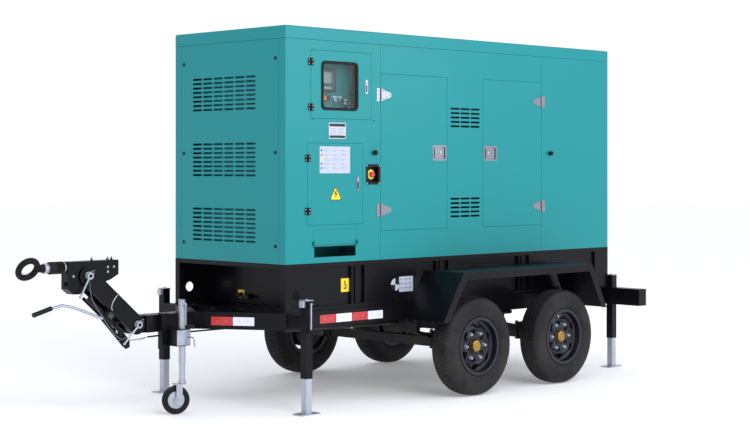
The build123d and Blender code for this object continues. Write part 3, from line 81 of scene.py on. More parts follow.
# %% [markdown]
# Nearly every surface here is paint, plating, rubber or plastic. They differ in colour, shine
# and grain, and all of them are a little uneven: paint has orange peel, plating has cloudy
# spangle, and dust settles where hands don't reach. One recipe covers them: a fine bump with
# a real size in millimetres, a slow change in shine, and a thin layer of dust that grows
# towards the ground.
# %% one recipe for all finishes
def surface(name, code, rough, metal=0.0, coat=0.0, grain=1.5, bump=0.02, cloud=0.06,
            dust=0.1, shade=0.05, scratch=0.0, polish=1.0):
    """A finish. grain is in mm and bump in mm; cloud, dust and shade are strengths."""
    made = bpy.data.materials.new(name)
    made.use_nodes = True
    tree = made.node_tree
    bsdf = tree.nodes["Principled BSDF"]
    where = add(tree, "ShaderNodeTexCoord").outputs["Object"]
    fine = add(tree, "ShaderNodeTexNoise", inputs={"Vector": where, "Scale": 1000 / grain / 4,
                                                   "Detail": 3.0})
    slow = add(tree, "ShaderNodeTexNoise", inputs={"Vector": where, "Scale": 3.1,
                                                   "Detail": 6.0, "Roughness": 0.62})
    height = add(tree, "ShaderNodeSeparateXYZ", inputs={"Vector": where}).outputs["Z"]
    low = add(tree, "ShaderNodeMapRange", inputs={"Value": height, "From Min": 1.5,
                                                  "From Max": 0.0, "To Min": 0.25,
                                                  "To Max": 1.0}).outputs["Result"]
    patches = add(tree, "ShaderNodeMapRange", inputs={"Value": slow.outputs["Fac"],
                                                      "From Min": 0.42,
                                                      "From Max": 0.75}).outputs["Result"]
    cover = add(tree, "ShaderNodeMath", {"operation": "MULTIPLY"}, {0: patches, 1: low})
    amount = add(tree, "ShaderNodeMath", {"operation": "MULTIPLY"},
                 {0: cover.outputs[0], 1: dust})
    base = linear(code)
    dark = [c * (1 - shade) for c in base[:3]] + [1]
    tone = add(tree, "ShaderNodeMix", {"data_type": "RGBA"},
               {"Factor": slow.outputs["Fac"], "A": base, "B": dark})
    dusty = add(tree, "ShaderNodeMix", {"data_type": "RGBA"},
                {"Factor": amount.outputs[0], "A": tone.outputs["Result"],
                 "B": linear("8E867A")})
    tree.links.new(dusty.outputs["Result"], bsdf.inputs["Base Color"])
    shine = add(tree, "ShaderNodeMapRange", inputs={"Value": slow.outputs["Fac"],
                                                    "To Min": rough - cloud,
                                                    "To Max": rough + cloud})
    rougher = add(tree, "ShaderNodeMath", {"operation": "ADD", "use_clamp": True},
                  {0: shine.outputs["Result"], 1: amount.outputs[0]})
    tree.links.new(rougher.outputs[0], bsdf.inputs["Roughness"])
    relief = add(tree, "ShaderNodeBump", inputs={"Height": fine.outputs["Fac"],
                                                 "Distance": bump / 1000, "Strength": 0.6})
    tree.links.new(relief.outputs["Normal"], bsdf.inputs["Normal"])
    if scratch:
        stretched = add(tree, "ShaderNodeMapping", inputs={"Vector": where,
                                                           "Scale": (900, 900, 12)})
        lines = add(tree, "ShaderNodeTexNoise", inputs={"Vector": stretched.outputs["Vector"],
                                                        "Scale": 1.0, "Detail": 2.0})
        brushed = add(tree, "ShaderNodeBump", inputs={"Height": lines.outputs["Fac"],
                                                      "Distance": scratch / 1000,
                                                      "Normal": relief.outputs["Normal"]})
        tree.links.new(brushed.outputs["Normal"], bsdf.inputs["Normal"])
    bsdf.inputs["Metallic"].default_value = metal
    bsdf.inputs["Specular IOR Level"].default_value = 0.5 * polish
    bsdf.inputs["Coat Weight"].default_value = coat
    bsdf.inputs["Coat Roughness"].default_value = 0.12
    return made


# satin two-pack paint on sheet steel
TEAL = surface("teal_satin_paint", "048A8E", 0.36, coat=0.05, grain=2.2, bump=0.03, dust=0.02,
               polish=0.6)
# the same teal paint on inside faces, without polish, in a darker tone as painted shade
TEAL_INNER_SHADE = surface("teal_inner_painted_shade", "067478", 0.5, grain=2.0, bump=0.04, dust=0.1)
# satin black chassis paint over rolled sections
BLACK = surface("black_chassis_paint", "08080F", 0.33, coat=0.05, grain=2.6, bump=0.06,
                dust=0.02, shade=0.15, polish=0.3)
# blackened spring steel and axle tube
UNDER = surface("black_underbody", "101013", 0.55, metal=0.3, grain=1.4, bump=0.08, dust=0.3)
# tyre rubber
RUBBER = surface("tyre_rubber", "131217", 0.62, grain=0.8, bump=0.05, dust=0.16, shade=0.2,
                 polish=0.5)
# moulded black rubber of seals, buffers and the gaiter
SEAL = surface("moulded_rubber", "08080B", 0.5, grain=0.7, bump=0.03, dust=0.04, polish=0.5)
# blue-black enamel on pressed wheels
WHEEL = surface("wheel_enamel", "101120", 0.36, coat=0.1, grain=1.8, bump=0.05, dust=0.1,
                polish=0.6)
# hot-dip galvanised legs
GALV = surface("galvanised_steel", "BFC6D2", 0.42, metal=0.75, grain=5, bump=0.03, cloud=0.16,
               dust=0.1, shade=0.2)
# bright zinc plating
ZINC = surface("bright_zinc", "B9BECB", 0.28, metal=0.9, grain=1.0, bump=0.02, cloud=0.1,
               shade=0.15)
# brushed stainless hinges and latches
STAINLESS = surface("brushed_stainless", "A9ADB6", 0.2, metal=1.0, grain=0.6, bump=0.05,
                    cloud=0.12, dust=0.1, shade=0.35, scratch=0.06)
# brass hub caps
BRASS = surface("brass_cap", "B08A45", 0.3, metal=1.0, grain=1.2, bump=0.03, dust=0.12,
                shade=0.25)
# fine-textured black plastic
PLASTIC = surface("black_plastic", "0B0B0E", 0.42, grain=0.5, bump=0.02, dust=0.02, polish=0.5)
# glossy red, green and yellow switch plastic
RED = surface("red_plastic", "C81424", 0.24, coat=0.4, grain=1, bump=0.004, dust=0.02)
GREEN = surface("green_plastic", "1FA05A", 0.24, coat=0.4, grain=1, bump=0.004, dust=0.02)
YELLOW = surface("yellow_vinyl", "F2D21B", 0.35, grain=1, bump=0.004, dust=0.04)
# white label stock, grey print and retroreflective tape
WHITE = surface("white_vinyl", "BCC4D4", 0.38, grain=1.2, bump=0.006, dust=0.06)
GREY = surface("grey_print", "8C95A0", 0.4, grain=1.2, bump=0.004, dust=0.04)
INK = surface("black_print", "141416", 0.4, grain=1.2, bump=0.004, dust=0.04)
BLUE = surface("blue_print", "3B62A8", 0.4, grain=1.2, bump=0.004, dust=0.02)
ORANGE = surface("orange_print", "D9662B", 0.4, grain=1.2, bump=0.004, dust=0.02)
TAPE_RED = surface("red_reflective_tape", "C4161F", 0.25, coat=0.5, grain=2.6, bump=0.02,
                   dust=0.06)
TAPE_WHITE = surface("white_reflective_tape", "E4E8EE", 0.25, coat=0.5, grain=2.6, bump=0.02,
                     dust=0.06)
# instrument faces
SCREEN = surface("display_glass", "3C4A55", 0.12, coat=0.8, grain=1, bump=0.002, dust=0.02)
CASE = surface("controller_case", "2A2D33", 0.38, grain=0.6, bump=0.02, dust=0.02)
# copper windings, heat-darkened silencer, cast engine and cooling core
COPPER = surface("copper_winding", "9C5A33", 0.35, metal=0.8, grain=1, bump=0.1, dust=0.1)
HOT = surface("silencer_steel", "5D5650", 0.55, metal=0.7, grain=2, bump=0.05, dust=0.2)
CAST = surface("engine_enamel", "3A3D40", 0.5, grain=1.2, bump=0.12, dust=0.15)
CORE = surface("cooler_core", "202224", 0.6, metal=0.4, grain=0.9, bump=0.3, dust=0.2)
FOAM = surface("sound_foam", "26282A", 0.95, grain=4, bump=1.2, cloud=0.02, dust=0.05)
print("finishes", len(bpy.data.materials))

# %% [markdown]
# The window in the control door is clear acrylic sheet. A thin flat sheet doesn't bend light
# enough to see, so it is a separate recipe: nearly all clear, with a little scuffed gloss.
# %% window glass
GLASS = bpy.data.materials.new("window_acrylic")
GLASS.use_nodes = True
glass_tree = GLASS.node_tree
glass_tree.nodes.remove(glass_tree.nodes["Principled BSDF"])
scuff = add(glass_tree, "ShaderNodeTexNoise", inputs={
    "Vector": add(glass_tree, "ShaderNodeTexCoord").outputs["Object"], "Scale": 40.0})
haze = add(glass_tree, "ShaderNodeMapRange", inputs={"Value": scuff.outputs["Fac"],
                                                     "To Min": 0.02, "To Max": 0.1})
clear = add(glass_tree, "ShaderNodeBsdfTransparent", inputs={"Color": linear("F4FBFA")})
gloss = add(glass_tree, "ShaderNodeBsdfGlossy", inputs={"Color": linear("FFFFFF"),
                                                        "Roughness": haze.outputs["Result"]})
blend = add(glass_tree, "ShaderNodeMixShader", inputs={0: 0.012, 1: clear.outputs["BSDF"],
                                                       2: gloss.outputs["BSDF"]})
glass_tree.links.new(blend.outputs["Shader"],
                     glass_tree.nodes["Material Output"].inputs["Surface"])
print("glass ready")

# %% [markdown]
# A CAD node can hold several materials: a door pan is painted, but its hinge straps and latch
# dish are bare stainless. The solids inside a node are loose islands of faces, so a rule looks
# at the middle of each island or face and picks the material. Nothing is moved, only painted.
# %% paint the nodes
def dress(name, materials, choose=None):
    """Gives a node its materials. choose gets (centre, low, high) of a face's island."""
    item = nodes[name]
    item.data.materials.clear()
    for finish in materials:
        item.data.materials.append(finish)
    if choose is None:
        for face in item.data.polygons:
            face.material_index = 0
        return
    work = bmesh.new()
    work.from_mesh(item.data)
    bmesh.ops.remove_doubles(work, verts=work.verts, dist=1e-6)
    work.faces.index_update()
    answer = {}
    seen = set()
    for start in work.faces:
        if start.index in seen:
            continue
        island, queue = [], [start]
        seen.add(start.index)
        while queue:
            face = queue.pop()
            island.append(face)
            for edge in face.edges:
                for other in edge.link_faces:
                    if other.index not in seen:
                        seen.add(other.index)
                        queue.append(other)
        points = [v.co for face in island for v in face.verts]
        low = Vector(min(p[i] for p in points) for i in range(3))
        high = Vector(max(p[i] for p in points) for i in range(3))
        for face in island:
            key = tuple(round(c, 5) for c in face.calc_center_median())
            answer[key] = choose(face.calc_center_median(), low, high)
    work.free()
    missed = 0
    for face in item.data.polygons:
        key = tuple(round(c, 5) for c in face.center)
        if key in answer:
            face.material_index = answer[key]
        else:
            missed += 1
            face.material_index = choose(face.center, face.center, face.center)
    return missed


flat = {
    "chassis_frame": BLACK, "mudguards": BLACK, "base_frame": BLACK, "fuel_tank": BLACK,
    "canopy_roof": TEAL, "leaf_springs": UNDER, "axles": UNDER, "cable_flap": TEAL,
    "engine": CAST, "silencer": HOT, "battery": PLASTIC,
    "circuit_breaker": PLASTIC, "cooling_fan": PLASTIC, "gaiter": SEAL, "tow_eye": BLACK,
    "drawbar_arm": BLACK, "coupling_head": BLACK, "lock_handle_front": ZINC,
    "lock_handle_rear": ZINC, "jockey_tube": GALV, "jockey_leg": GALV, "jockey_fork": ZINC,
    "jockey_wheel": SEAL, "key_switch": ZINC, "start_button": GREEN, "estop_button": RED,
}
for name, finish in flat.items():
    dress(name, [finish])
for corner in ("front_left", "front_right", "rear_left", "rear_right"):
    dress(f"jack_leg_{corner}", [GALV])
    dress(f"jack_crank_{corner}", [ZINC, PLASTIC],
          lambda c, low, high: 1 if c.z < 0.594 else 0)
    rim_low, rim_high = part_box(f"rim_{corner}")
    hub_x = (rim_low[0] + rim_high[0]) / 2
    dress(f"rim_{corner}", [WHEEL, BRASS],
          lambda c, low, high: 1 if abs(c.y) > 0.9858 and math.hypot(
              c.x - hub_x, c.z - 0.372) < 0.0455 else 0)
dress("jack_tubes", [BLACK, GALV], lambda c, low, high: 1 if c.z > 0.7449 and (
    c.z > 0.7899 or abs(c.x - (NOSE + 0.035)) > 0.0302 and c.x < 0
    or c.x > TAIL + 0.0702) else 0)
dress("jockey_crank", [ZINC, PLASTIC], lambda c, low, high: 1 if c.z < 0.63 and c.y < -0.226
      else 0)
dress("brake_lever", [BLACK, ZINC, PLASTIC], lambda c, low, high:
      2 if c.x < NOSE - 0.85 - 0.679 else 1 if c.x < NOSE - 1.118 else 0)


def side_choice(centre, low, high):
    if high.y - low.y < 0.03 and abs(centre.y) > SIDE and high.z - low.z < 0.12:
        return 2 if centre.x < NOSE + 0.6 else 1
    return 0


dress("canopy_sides", [TEAL, STAINLESS, PLASTIC], side_choice)
# the inward faces and flanges behind the front panel take the darker teal: painted shade
dress("canopy_ends", [TEAL, TEAL_INNER_SHADE], lambda c, low, high: 1 if abs(c.x) < TAIL - 0.03 and
      c.x < NOSE + 0.2 and c.x > NOSE + 0.04 else 0)


def door_choice(centre, low, high):
    if abs(centre.y) > SIDE + 0.0001:
        return 1
    if abs(high.z - low.z) < 0.125 and abs(high.x - low.x) < 0.2:
        return 1
    return 0


for side in ("left", "right"):
    for place in ("front", "rear"):
        dress(f"door_{side}_{place}", [TEAL, STAINLESS], door_choice)
        dress(f"latch_{side}_{place}", [STAINLESS])


def small_door_choice(centre, low, high):
    size = high - low
    if size.x < 0.1 and size.z < 0.07:
        return 1
    if size.x < 0.04 and 0.08 < size.z < 0.12:
        return 2
    if 0.3 < size.x < 0.4:
        pane = min(abs(centre.y + SIDE), abs(centre.y + SIDE - 0.004)) < 0.0002
        return 4 if pane else 3
    return 0


for name in ("control_door", "output_door"):
    dress(name, [TEAL, PLASTIC, STAINLESS, SEAL, GLASS], small_door_choice)


def cabinet_choice(centre, low, high):
    size = high - low
    if size.x < 0.26 and size.z < 0.26:
        return 1
    return 0


# the cabinet's inside takes the darker teal as painted shade; its small islands are black plastic
dress("control_cabinet", [TEAL_INNER_SHADE, PLASTIC], cabinet_choice)
dress("alternator", [CAST, COPPER], lambda c, low, high: 1 if high.y - low.y < 0.1 and
      abs(c.y) < 0.05 else 0)
dress("radiator", [BLACK, CORE], lambda c, low, high: 1 if 1.066 < c.z < 2.09 and
      abs(c.y) < 0.43 else 0)
print("nodes painted", len(nodes))

# %% [markdown]
# Folded sheet and rolled sections never have razor edges: each has a small radius that
# catches a line of light. A bevel modifier with a width in millimetres gives that line
# without changing the engineering part.
# %% soften the edges
def soften(item, width_mm, segments=2, angle=40):
    """Rounds the sharp edges of a piece by a width in millimetres."""
    made = item.modifiers.new("edge_radius", "BEVEL")
    made.width = width_mm / 1000
    made.segments = segments
    made.limit_method = "ANGLE"
    made.angle_limit = math.radians(angle)
    made.harden_normals = True
    made.use_clamp_overlap = True


softness = {"chassis_frame": 3.0, "base_frame": 1.2, "mudguards": 1.2, "jack_tubes": 2.0,
            "drawbar_arm": 2.0, "coupling_head": 3.0, "canopy_roof": 0.8}
for name, width in softness.items():
    item = nodes[name]
    weld_step = item.modifiers.new("join_corners", "WELD")
    weld_step.merge_threshold = 0.00001
    soften(item, width, 2, 50)
print("softened", len(softness))

# %% [markdown]
# The rest are small pieces of their own. A few shape makers cover them: a turned shape, a
# rounded block, a plate cut to an outline, and a bent wire or tube. Each one gets its
# material, and rides on the body it is fixed to.
# %% shape makers
def finish_piece(item, material, body, smooth=40):
    """Paints a piece, shades it and lets it ride on a body."""
    item.data.materials.append(material)
    if item.type == "MESH" and smooth:
        for face in item.data.polygons:
            face.use_smooth = True
        item.data.set_sharp_from_angle(angle=math.radians(smooth))
    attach(item, body)
    return item


def from_bmesh(name, work):
    """Turns a bmesh into an object in the scene."""
    mesh = bpy.data.meshes.new(name)
    work.to_mesh(mesh)
    work.free()
    item = bpy.data.objects.new(name, mesh)
    bpy.context.collection.objects.link(item)
    return item


def turn(name, profile, origin, axis, material, body, steps=48, smooth=40):
    """A turned shape from (distance along the axis, radius) pairs, in metres."""
    work = bmesh.new()
    along = Vector(axis).normalized()
    spin = along.to_track_quat("Z", "Y").to_matrix()
    rings = []
    for distance, radius in profile:
        ring = []
        for step in range(steps):
            angle = 2 * math.pi * step / steps
            offset = Vector((radius * math.cos(angle), radius * math.sin(angle), distance))
            ring.append(work.verts.new(Vector(origin) + spin @ offset))
        rings.append(ring)
    for one, two in zip(rings, rings[1:]):
        for step in range(steps):
            after = (step + 1) % steps
            work.faces.new((one[step], one[after], two[after], two[step]))
    for ring, way in ((rings[0], -1), (rings[-1], 1)):
        if (ring[0].co - ring[steps // 2].co).length > 1e-6:
            work.faces.new(ring if way > 0 else ring[::-1])
    bmesh.ops.remove_doubles(work, verts=work.verts, dist=1e-7)
    bmesh.ops.recalc_face_normals(work, faces=work.faces)
    return finish_piece(from_bmesh(name, work), material, body, smooth)


def bevelled(name, x, y, z, material, body, radius=0.001):
    """A block with rounded edges between limits."""
    work = bmesh.new()
    bmesh.ops.create_cube(work, size=1)
    for vert in work.verts:
        for axis, (low, high) in enumerate((x, y, z)):
            vert.co[axis] = (low + high) / 2 + vert.co[axis] * (high - low)
    bmesh.ops.bevel(work, geom=list(work.edges), offset=radius, segments=3, affect="EDGES",
                    profile=0.5)
    return finish_piece(from_bmesh(name, work), material, body)


def cut_out(name, outline, origin, across, up, thickness, material, body):
    """A flat plate: outline corners (u, v) in a plane, thickened along its normal."""
    across, up = Vector(across).normalized(), Vector(up).normalized()
    normal = across.cross(up)
    work = bmesh.new()
    low = [work.verts.new(Vector(origin) + across * u + up * v) for u, v in outline]
    high = [work.verts.new(v.co + normal * thickness) for v in low]
    work.faces.new(high)
    work.faces.new(low[::-1])
    for i in range(len(outline)):
        j = (i + 1) % len(outline)
        work.faces.new((low[i], low[j], high[j], high[i]))
    bmesh.ops.recalc_face_normals(work, faces=work.faces)
    return finish_piece(from_bmesh(name, work), material, body, smooth=0)


def rounded(u, v, radius, steps=5):
    """Corners of a rectangle with round corners, between limits."""
    points = []
    for cu, cv, start in ((u[1] - radius, v[1] - radius, 0), (u[0] + radius, v[1] - radius, 90),
                          (u[0] + radius, v[0] + radius, 180),
                          (u[1] - radius, v[0] + radius, 270)):
        for step in range(steps + 1):
            angle = math.radians(start + 90 * step / steps)
            points.append((cu + radius * math.cos(angle), cv + radius * math.sin(angle)))
    return points


def wire(name, points, radius, material, body, smooth=True):
    """A bent wire or tube through points."""
    data = bpy.data.curves.new(name, "CURVE")
    data.dimensions = "3D"
    data.bevel_depth = radius
    data.bevel_resolution = 4
    data.use_fill_caps = True
    line = data.splines.new("NURBS" if smooth else "POLY")
    line.points.add(len(points) - 1)
    for spot, place in zip(line.points, points):
        spot.co = (*place, 1)
    if smooth:
        line.use_endpoint_u = True
        line.order_u = 3
    item = bpy.data.objects.new(name, data)
    bpy.context.collection.objects.link(item)
    data.materials.append(material)
    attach(item, body)
    return item


def bolt(name, place, axis, size, material, body):
    """A hexagon screw head on a washer. size is the thread, in metres."""
    turn(name + "_washer", [(0, 0), (0, size * 1.1), (size * 0.16, size * 1.1),
                            (size * 0.2, size), (size * 0.2, 0)], place, axis, material, body,
         steps=24)
    top = Vector(place) + Vector(axis).normalized() * size * 0.2
    turn(name, [(0, size * 0.92), (size * 0.52, size * 0.92), (size * 0.66, size * 0.76),
                (size * 0.66, 0)], top, axis, material, body, steps=6, smooth=20)


OUT = (0, -1, 0)


def label(name, x, z, material, body="chassis", lift=0.0003, radius=0.004, y=-0.625):
    """A thin sticker on the control side. x is measured from the canopy's front."""
    corner = min(radius, (x[1] - x[0]) / 2.1, (z[1] - z[0]) / 2.1)
    return cut_out(name, rounded(x, z, corner), (NOSE, y, 0), (1, 0, 0), (0, 0, 1), lift,
                   material, body)


print("shape makers ready")

# %% [markdown]
# The tyres are rib-pattern light-truck tyres. A plain ring would look like a toy, so each is
# built as a fine grid: the cross-section gives sidewall, shoulder and tread, zigzag grooves
# are pressed into the tread, and short cuts break up the shoulders.
# %% tyres
section = [(-0.0755, 0.204), (-0.0755, 0.221), (-0.084, 0.228), (-0.0868, 0.243),
           (-0.0885, 0.245), (-0.0895, 0.262), (-0.0917, 0.272), (-0.0919, 0.3),
           (-0.0905, 0.318), (-0.0865, 0.333), (-0.0835, 0.340), (-0.0795, 0.3515),
           (-0.074, 0.3565), (-0.068, 0.361)]
tread = [(-0.064 + 0.128 * i / 40, 0.3712 - 0.0062 * (abs(-1 + i / 20) ** 2.4))
         for i in range(41)]
outline = section + tread + [(-a, r) for a, r in section[::-1]]
grooves = (-0.036, -0.0125, 0.0125, 0.036)
for corner in ("front_left", "front_right", "rear_left", "rear_right"):
    low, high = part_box(f"tyre_{corner}")
    middle = [(a + b) / 2 for a, b in zip(low, high)]
    steps = 360
    work = bmesh.new()
    rings = []
    for step in range(steps):
        angle = 2 * math.pi * step / steps
        ring = []
        for across, radius in outline:
            phase = (step % 10) / 10
            zig = 0.0042 * (4 * abs(phase - 0.5) - 1)
            depth = 0.0
            if abs(across) < 0.0655 and radius > 0.36:
                for groove in grooves:
                    if abs(across - groove - zig) < 0.0030:
                        depth = 0.009
                if abs(across) > 0.047 and step % 5 == 0:
                    depth = 0.007
                if 0.018 < abs(across) < 0.032 and step % 10 in (2, 7):
                    depth = 0.004
            elif 0.335 < radius < 0.362 and step % 5 == 0:
                depth = 0.003
            elif 0.25 < radius < 0.268 and step % 90 < 26 and step % 2:
                depth = -0.0006
            shape = radius - depth
            side_push = 1 if radius > 0.3 else 1.0
            ring.append(work.verts.new((middle[0] + shape * math.cos(angle),
                                        middle[1] + across * side_push,
                                        middle[2] + shape * math.sin(angle))))
        rings.append(ring)
    count = len(outline)
    for step in range(steps):
        one, two = rings[step], rings[(step + 1) % steps]
        for i in range(count - 1):
            work.faces.new((one[i], one[i + 1], two[i + 1], two[i]))
    bmesh.ops.recalc_face_normals(work, faces=work.faces)
    piece = from_bmesh(f"tread_{corner}", work)
    finish_piece(piece, RUBBER, f"wheel_{corner}", smooth=38)
    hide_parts(f"tyre_{corner}")
print("tyres made", len(outline), "points across")

# %% [markdown]
# Each wheel has six plated nuts on studs, a dark pilot ring and a turned brass cap, and a
# small valve. They are built once as turned shapes and set round the stud circle.
# %% wheel nuts, caps and valves
for corner in ("front_left", "front_right", "rear_left", "rear_right"):
    low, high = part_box(f"rim_{corner}")
    cx, cz = (low[0] + high[0]) / 2, (low[2] + high[2]) / 2
    side = -1 if "left" in corner else 1
    body = f"wheel_{corner}"
    face = side * (0.951 + 0.0300)
    for k in range(6):
        angle = math.radians(60 * k)
        place = (cx + 0.102 * math.cos(angle), side * 0.9795, cz + 0.102 * math.sin(angle))
        turn(f"nut_{corner}_{k}", [(0.0, 0.0155), (0.003, 0.0155), (0.0035, 0.0135),
                                   (0.0185, 0.0135), (0.0215, 0.011), (0.0215, 0)],
             place, (0, side, 0), ZINC, body, steps=6, smooth=20)
        tip = (place[0], place[1] + side * 0.0205, place[2])
        turn(f"stud_{corner}_{k}", [(0, 0.007), (0.007, 0.007), (0.009, 0.0055), (0.009, 0)],
             tip, (0, side, 0), GALV, body, steps=20)
    turn(f"pilot_{corner}", [(0, 0.060), (0.012, 0.060), (0.016, 0.056), (0.016, 0.046)],
         (cx, side * 0.9735, cz), (0, side, 0), UNDER, body)
    turn(f"cap_{corner}", [(0, 0.0458), (0.004, 0.0462), (0.006, 0.0445), (0.0225, 0.043),
                           (0.0262, 0.039), (0.0275, 0.030), (0.0268, 0.029), (0.0268, 0.012),
                           (0.0282, 0.010), (0.0282, 0)],
         (cx, side * 0.9845, cz), (0, side, 0), BRASS, body)
    start = Vector((cx + 0.13, side * 0.985, cz + 0.045))
    wire(f"valve_{corner}", [start, start + Vector((0.006, side * 0.006, 0.003)),
                             start + Vector((0.02, side * 0.012, 0.01))], 0.0042, SEAL, body)
print("wheel fittings made")

# %% [markdown]
# The canopy carries its fixings on the outside: black cap screws down the front panel, small
# screws by the flap and the stop housing, rivets in every hinge leaf, and rubber buffers that
# catch the open doors.
# %% canopy fixings
for k, z in enumerate((2.487, 1.82, 1.158)):
    for tag, y in (("a", -0.52), ("b", 0.52)):
        turn(f"front_screw_{tag}{k}", [(0, 0), (0, 0.0125), (0.002, 0.0125), (0.0055, 0.0105),
                                       (0.0065, 0.006), (0.0048, 0.0045), (0.0048, 0)],
             (NOSE, y, z), (-1, 0, 0), PLASTIC, "chassis", steps=28)
        turn(f"rear_screw_{tag}{k}", [(0, 0), (0, 0.0125), (0.002, 0.0125), (0.0055, 0.0105),
                                      (0.0065, 0.006), (0.0048, 0.0045), (0.0048, 0)],
             (TAIL, y, z), (1, 0, 0), PLASTIC, "chassis", steps=28)
for k, (x, z) in enumerate(((0.256, 1.172), (0.710, 1.174), (0.256, 2.062), (0.868, 2.06))):
    turn(f"side_screw_{k}", [(0, 0), (0, 0.0055), (0.0015, 0.0052), (0.0026, 0.003),
                             (0.0026, 0)], (NOSE + x, -0.6251, z), OUT, PLASTIC, "chassis",
         steps=20)
for k, (x, z) in enumerate(((0.870, 1.824), (2.910, 1.832))):
    for tag, side in (("left", -1), ("right", 1)):
        turn(f"buffer_{tag}_{k}", [(0, 0), (0, 0.012), (0.004, 0.012), (0.006, 0.0155),
                                   (0.018, 0.018), (0.028, 0.018), (0.033, 0.014), (0.034, 0)],
             (NOSE + x, side * 0.6253, z), (0, side, 0), SEAL, "chassis", steps=32)

strap_lows = (1.352, 2.206)
for tag, side in (("left", -1), ("right", 1)):
    for place, edge, way in (("front", 0.942, 1), ("rear", 2.808, -1)):
        for s, low_z in enumerate(strap_lows):
            for k, (du, dv) in enumerate(((0.028, 0.02), (0.028, 0.076), (0.058, 0.034),
                                          (0.058, 0.062), (0.09, 0.048))):
                turn(f"hinge_rivet_{tag}_{place}_{s}{k}",
                     [(0, 0.0062), (0.0012, 0.006), (0.0028, 0.0042), (0.0034, 0)],
                     (NOSE + edge + way * du, side * 0.6277, low_z + dv), (0, side, 0),
                     STAINLESS, f"door_{tag}_{place}", steps=20)
            for k, dv in enumerate((0.018, 0.048, 0.078)):
                turn(f"leaf_rivet_{tag}_{place}_{s}{k}",
                     [(0, 0.0062), (0.0012, 0.006), (0.0028, 0.0042), (0.0034, 0)],
                     (NOSE + edge - way * 0.026, side * 0.6277, low_z + dv), (0, side, 0),
                     STAINLESS, "chassis", steps=20)
for name, edge, lows in (("control_door", 0.241, (2.119, 2.443)),
                         ("output_door", 0.211, (1.378, 1.755))):
    for s, low_z in enumerate(lows):
        for k, dz in enumerate((0.012, 0.038)):
            for tag, dx, body in (("fixed", -0.018, "chassis"), ("moving", 0.018, name)):
                turn(f"{name}_screw_{tag}_{s}{k}",
                     [(0, 0.0045), (0.0008, 0.0043), (0.0018, 0.0026), (0.0018, 0)],
                     (NOSE + edge + dx, -0.6279, low_z + dz), OUT, GALV, body, steps=16)
print("canopy fixings made")

# %% [markdown]
# Every paddle latch is a stainless dish with a raised paddle, a lock barrel and a deep shadow. The
# dish and paddle come from the frame, so the lock barrel, its slot and the four corner rivets are
# added here. The slot is a thin black bar: painted shade where the key goes.
# %% latch details
for tag, side in (("left", -1), ("right", 1)):
    for place in ("front", "rear"):
        low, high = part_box(f"latch_{tag}_{place}")
        cx, cz = (low[0] + high[0]) / 2, (low[2] + high[2]) / 2
        way = 1 if place == "front" else -1
        top = side * 0.6251
        spot = (cx + way * 0.018, top, cz)
        turn(f"lock_{tag}_{place}", [(0, 0.0135), (0.0014, 0.0132), (0.0022, 0.0115),
                                     (0.0022, 0.0085), (0.0012, 0.008), (0.0012, 0)],
             spot, (0, side, 0), ZINC, f"latch_{tag}_{place}", steps=32)
        # the key slot is a black bar of painted shade
        bevelled(f"keyway_{tag}_{place}", (spot[0] - 0.0008, spot[0] + 0.0008),
                 sorted((top + side * 0.0011, top + side * 0.0016)),
                 (cz - 0.005, cz + 0.005), INK, f"latch_{tag}_{place}", 0.0002)
        bevelled(f"paddle_lip_{tag}_{place}",
                 sorted((cx + way * 0.0335, cx + way * 0.0375)),
                 sorted((top, top + side * 0.0018)), (cz - 0.036, cz + 0.036), STAINLESS,
                 f"latch_{tag}_{place}", 0.0008)
        for k, (dx, dz) in enumerate(((-0.0705, -0.052), (-0.0705, 0.052), (0.0705, -0.052),
                                      (0.0705, 0.052))):
            turn(f"dish_rivet_{tag}_{place}{k}", [(0, 0.004), (0.001, 0.0036), (0.0016, 0)],
                 (cx + dx, side * 0.6267, cz + dz), (0, side, 0), STAINLESS,
                 f"door_{tag}_{place}", steps=16)
for name, x, z in (("control_door", 0.7935, 2.307), ("output_door", 0.7045, 1.597)):
    turn(f"{name}_lock", [(0, 0.0078), (0.0012, 0.0075), (0.0022, 0.006), (0.0022, 0)],
         (NOSE + x, -0.6289, z + 0.028), OUT, ZINC, name, steps=24)
    cut_out(f"{name}_grip", rounded((x - 0.0055, x + 0.0055), (z - 0.04, z + 0.012), 0.005),
            (NOSE, -0.6289, 0), (1, 0, 0), (0, 0, 1), 0.0012, PLASTIC, name)
print("latch details made")

# %% [markdown]
# The instrument panel sits behind the window. On the real one the controller has a dark
# screen and a row of keys, a label below it, a start button, a selector and a key switch,
# and a loom that curls down the right-hand side. All lettering is left as plain grey bars.
# %% instrument panel
PANEL_Y = -0.515
FACE_Y = PANEL_Y - 0.032


def on_panel(name, x, z, material, y=FACE_Y, lift=0.0006, radius=0.002):
    """A thin shape on the instrument panel or on the controller's face."""
    return cut_out(name, rounded(x, z, min(radius, (x[1] - x[0]) / 2.1, (z[1] - z[0]) / 2.1)),
                   (NOSE, y, 0), (1, 0, 0), (0, 0, 1), lift, material, "chassis")


on_panel("controller_face", (0.362, 0.551), (2.270, 2.421), CASE, lift=0.0012, radius=0.01)
on_panel("controller_screen", (0.390, 0.514), (2.325, 2.404), SCREEN, y=FACE_Y - 0.0012)
on_panel("screen_frame_top", (0.386, 0.518), (2.404, 2.408), INK, y=FACE_Y - 0.0012)
on_panel("screen_frame_low", (0.386, 0.518), (2.321, 2.325), INK, y=FACE_Y - 0.0012)
for k in range(5):
    on_panel(f"screen_line_{k}", (0.398, 0.398 + 0.05 + 0.02 * (k % 3)),
             (2.390 - 0.013 * k, 2.393 - 0.013 * k), GREY, y=FACE_Y - 0.0017, lift=0.0003,
             radius=0.001)
for k in range(7):
    tone = GREEN if k == 6 else RED if k == 0 else WHITE
    turn(f"controller_key_{k}", [(0, 0.0078), (0.0015, 0.0078), (0.0024, 0.0062), (0.0024, 0)],
         (NOSE + 0.382 + 0.0235 * k, FACE_Y - 0.0012, 2.291), OUT, tone, "chassis", steps=24)
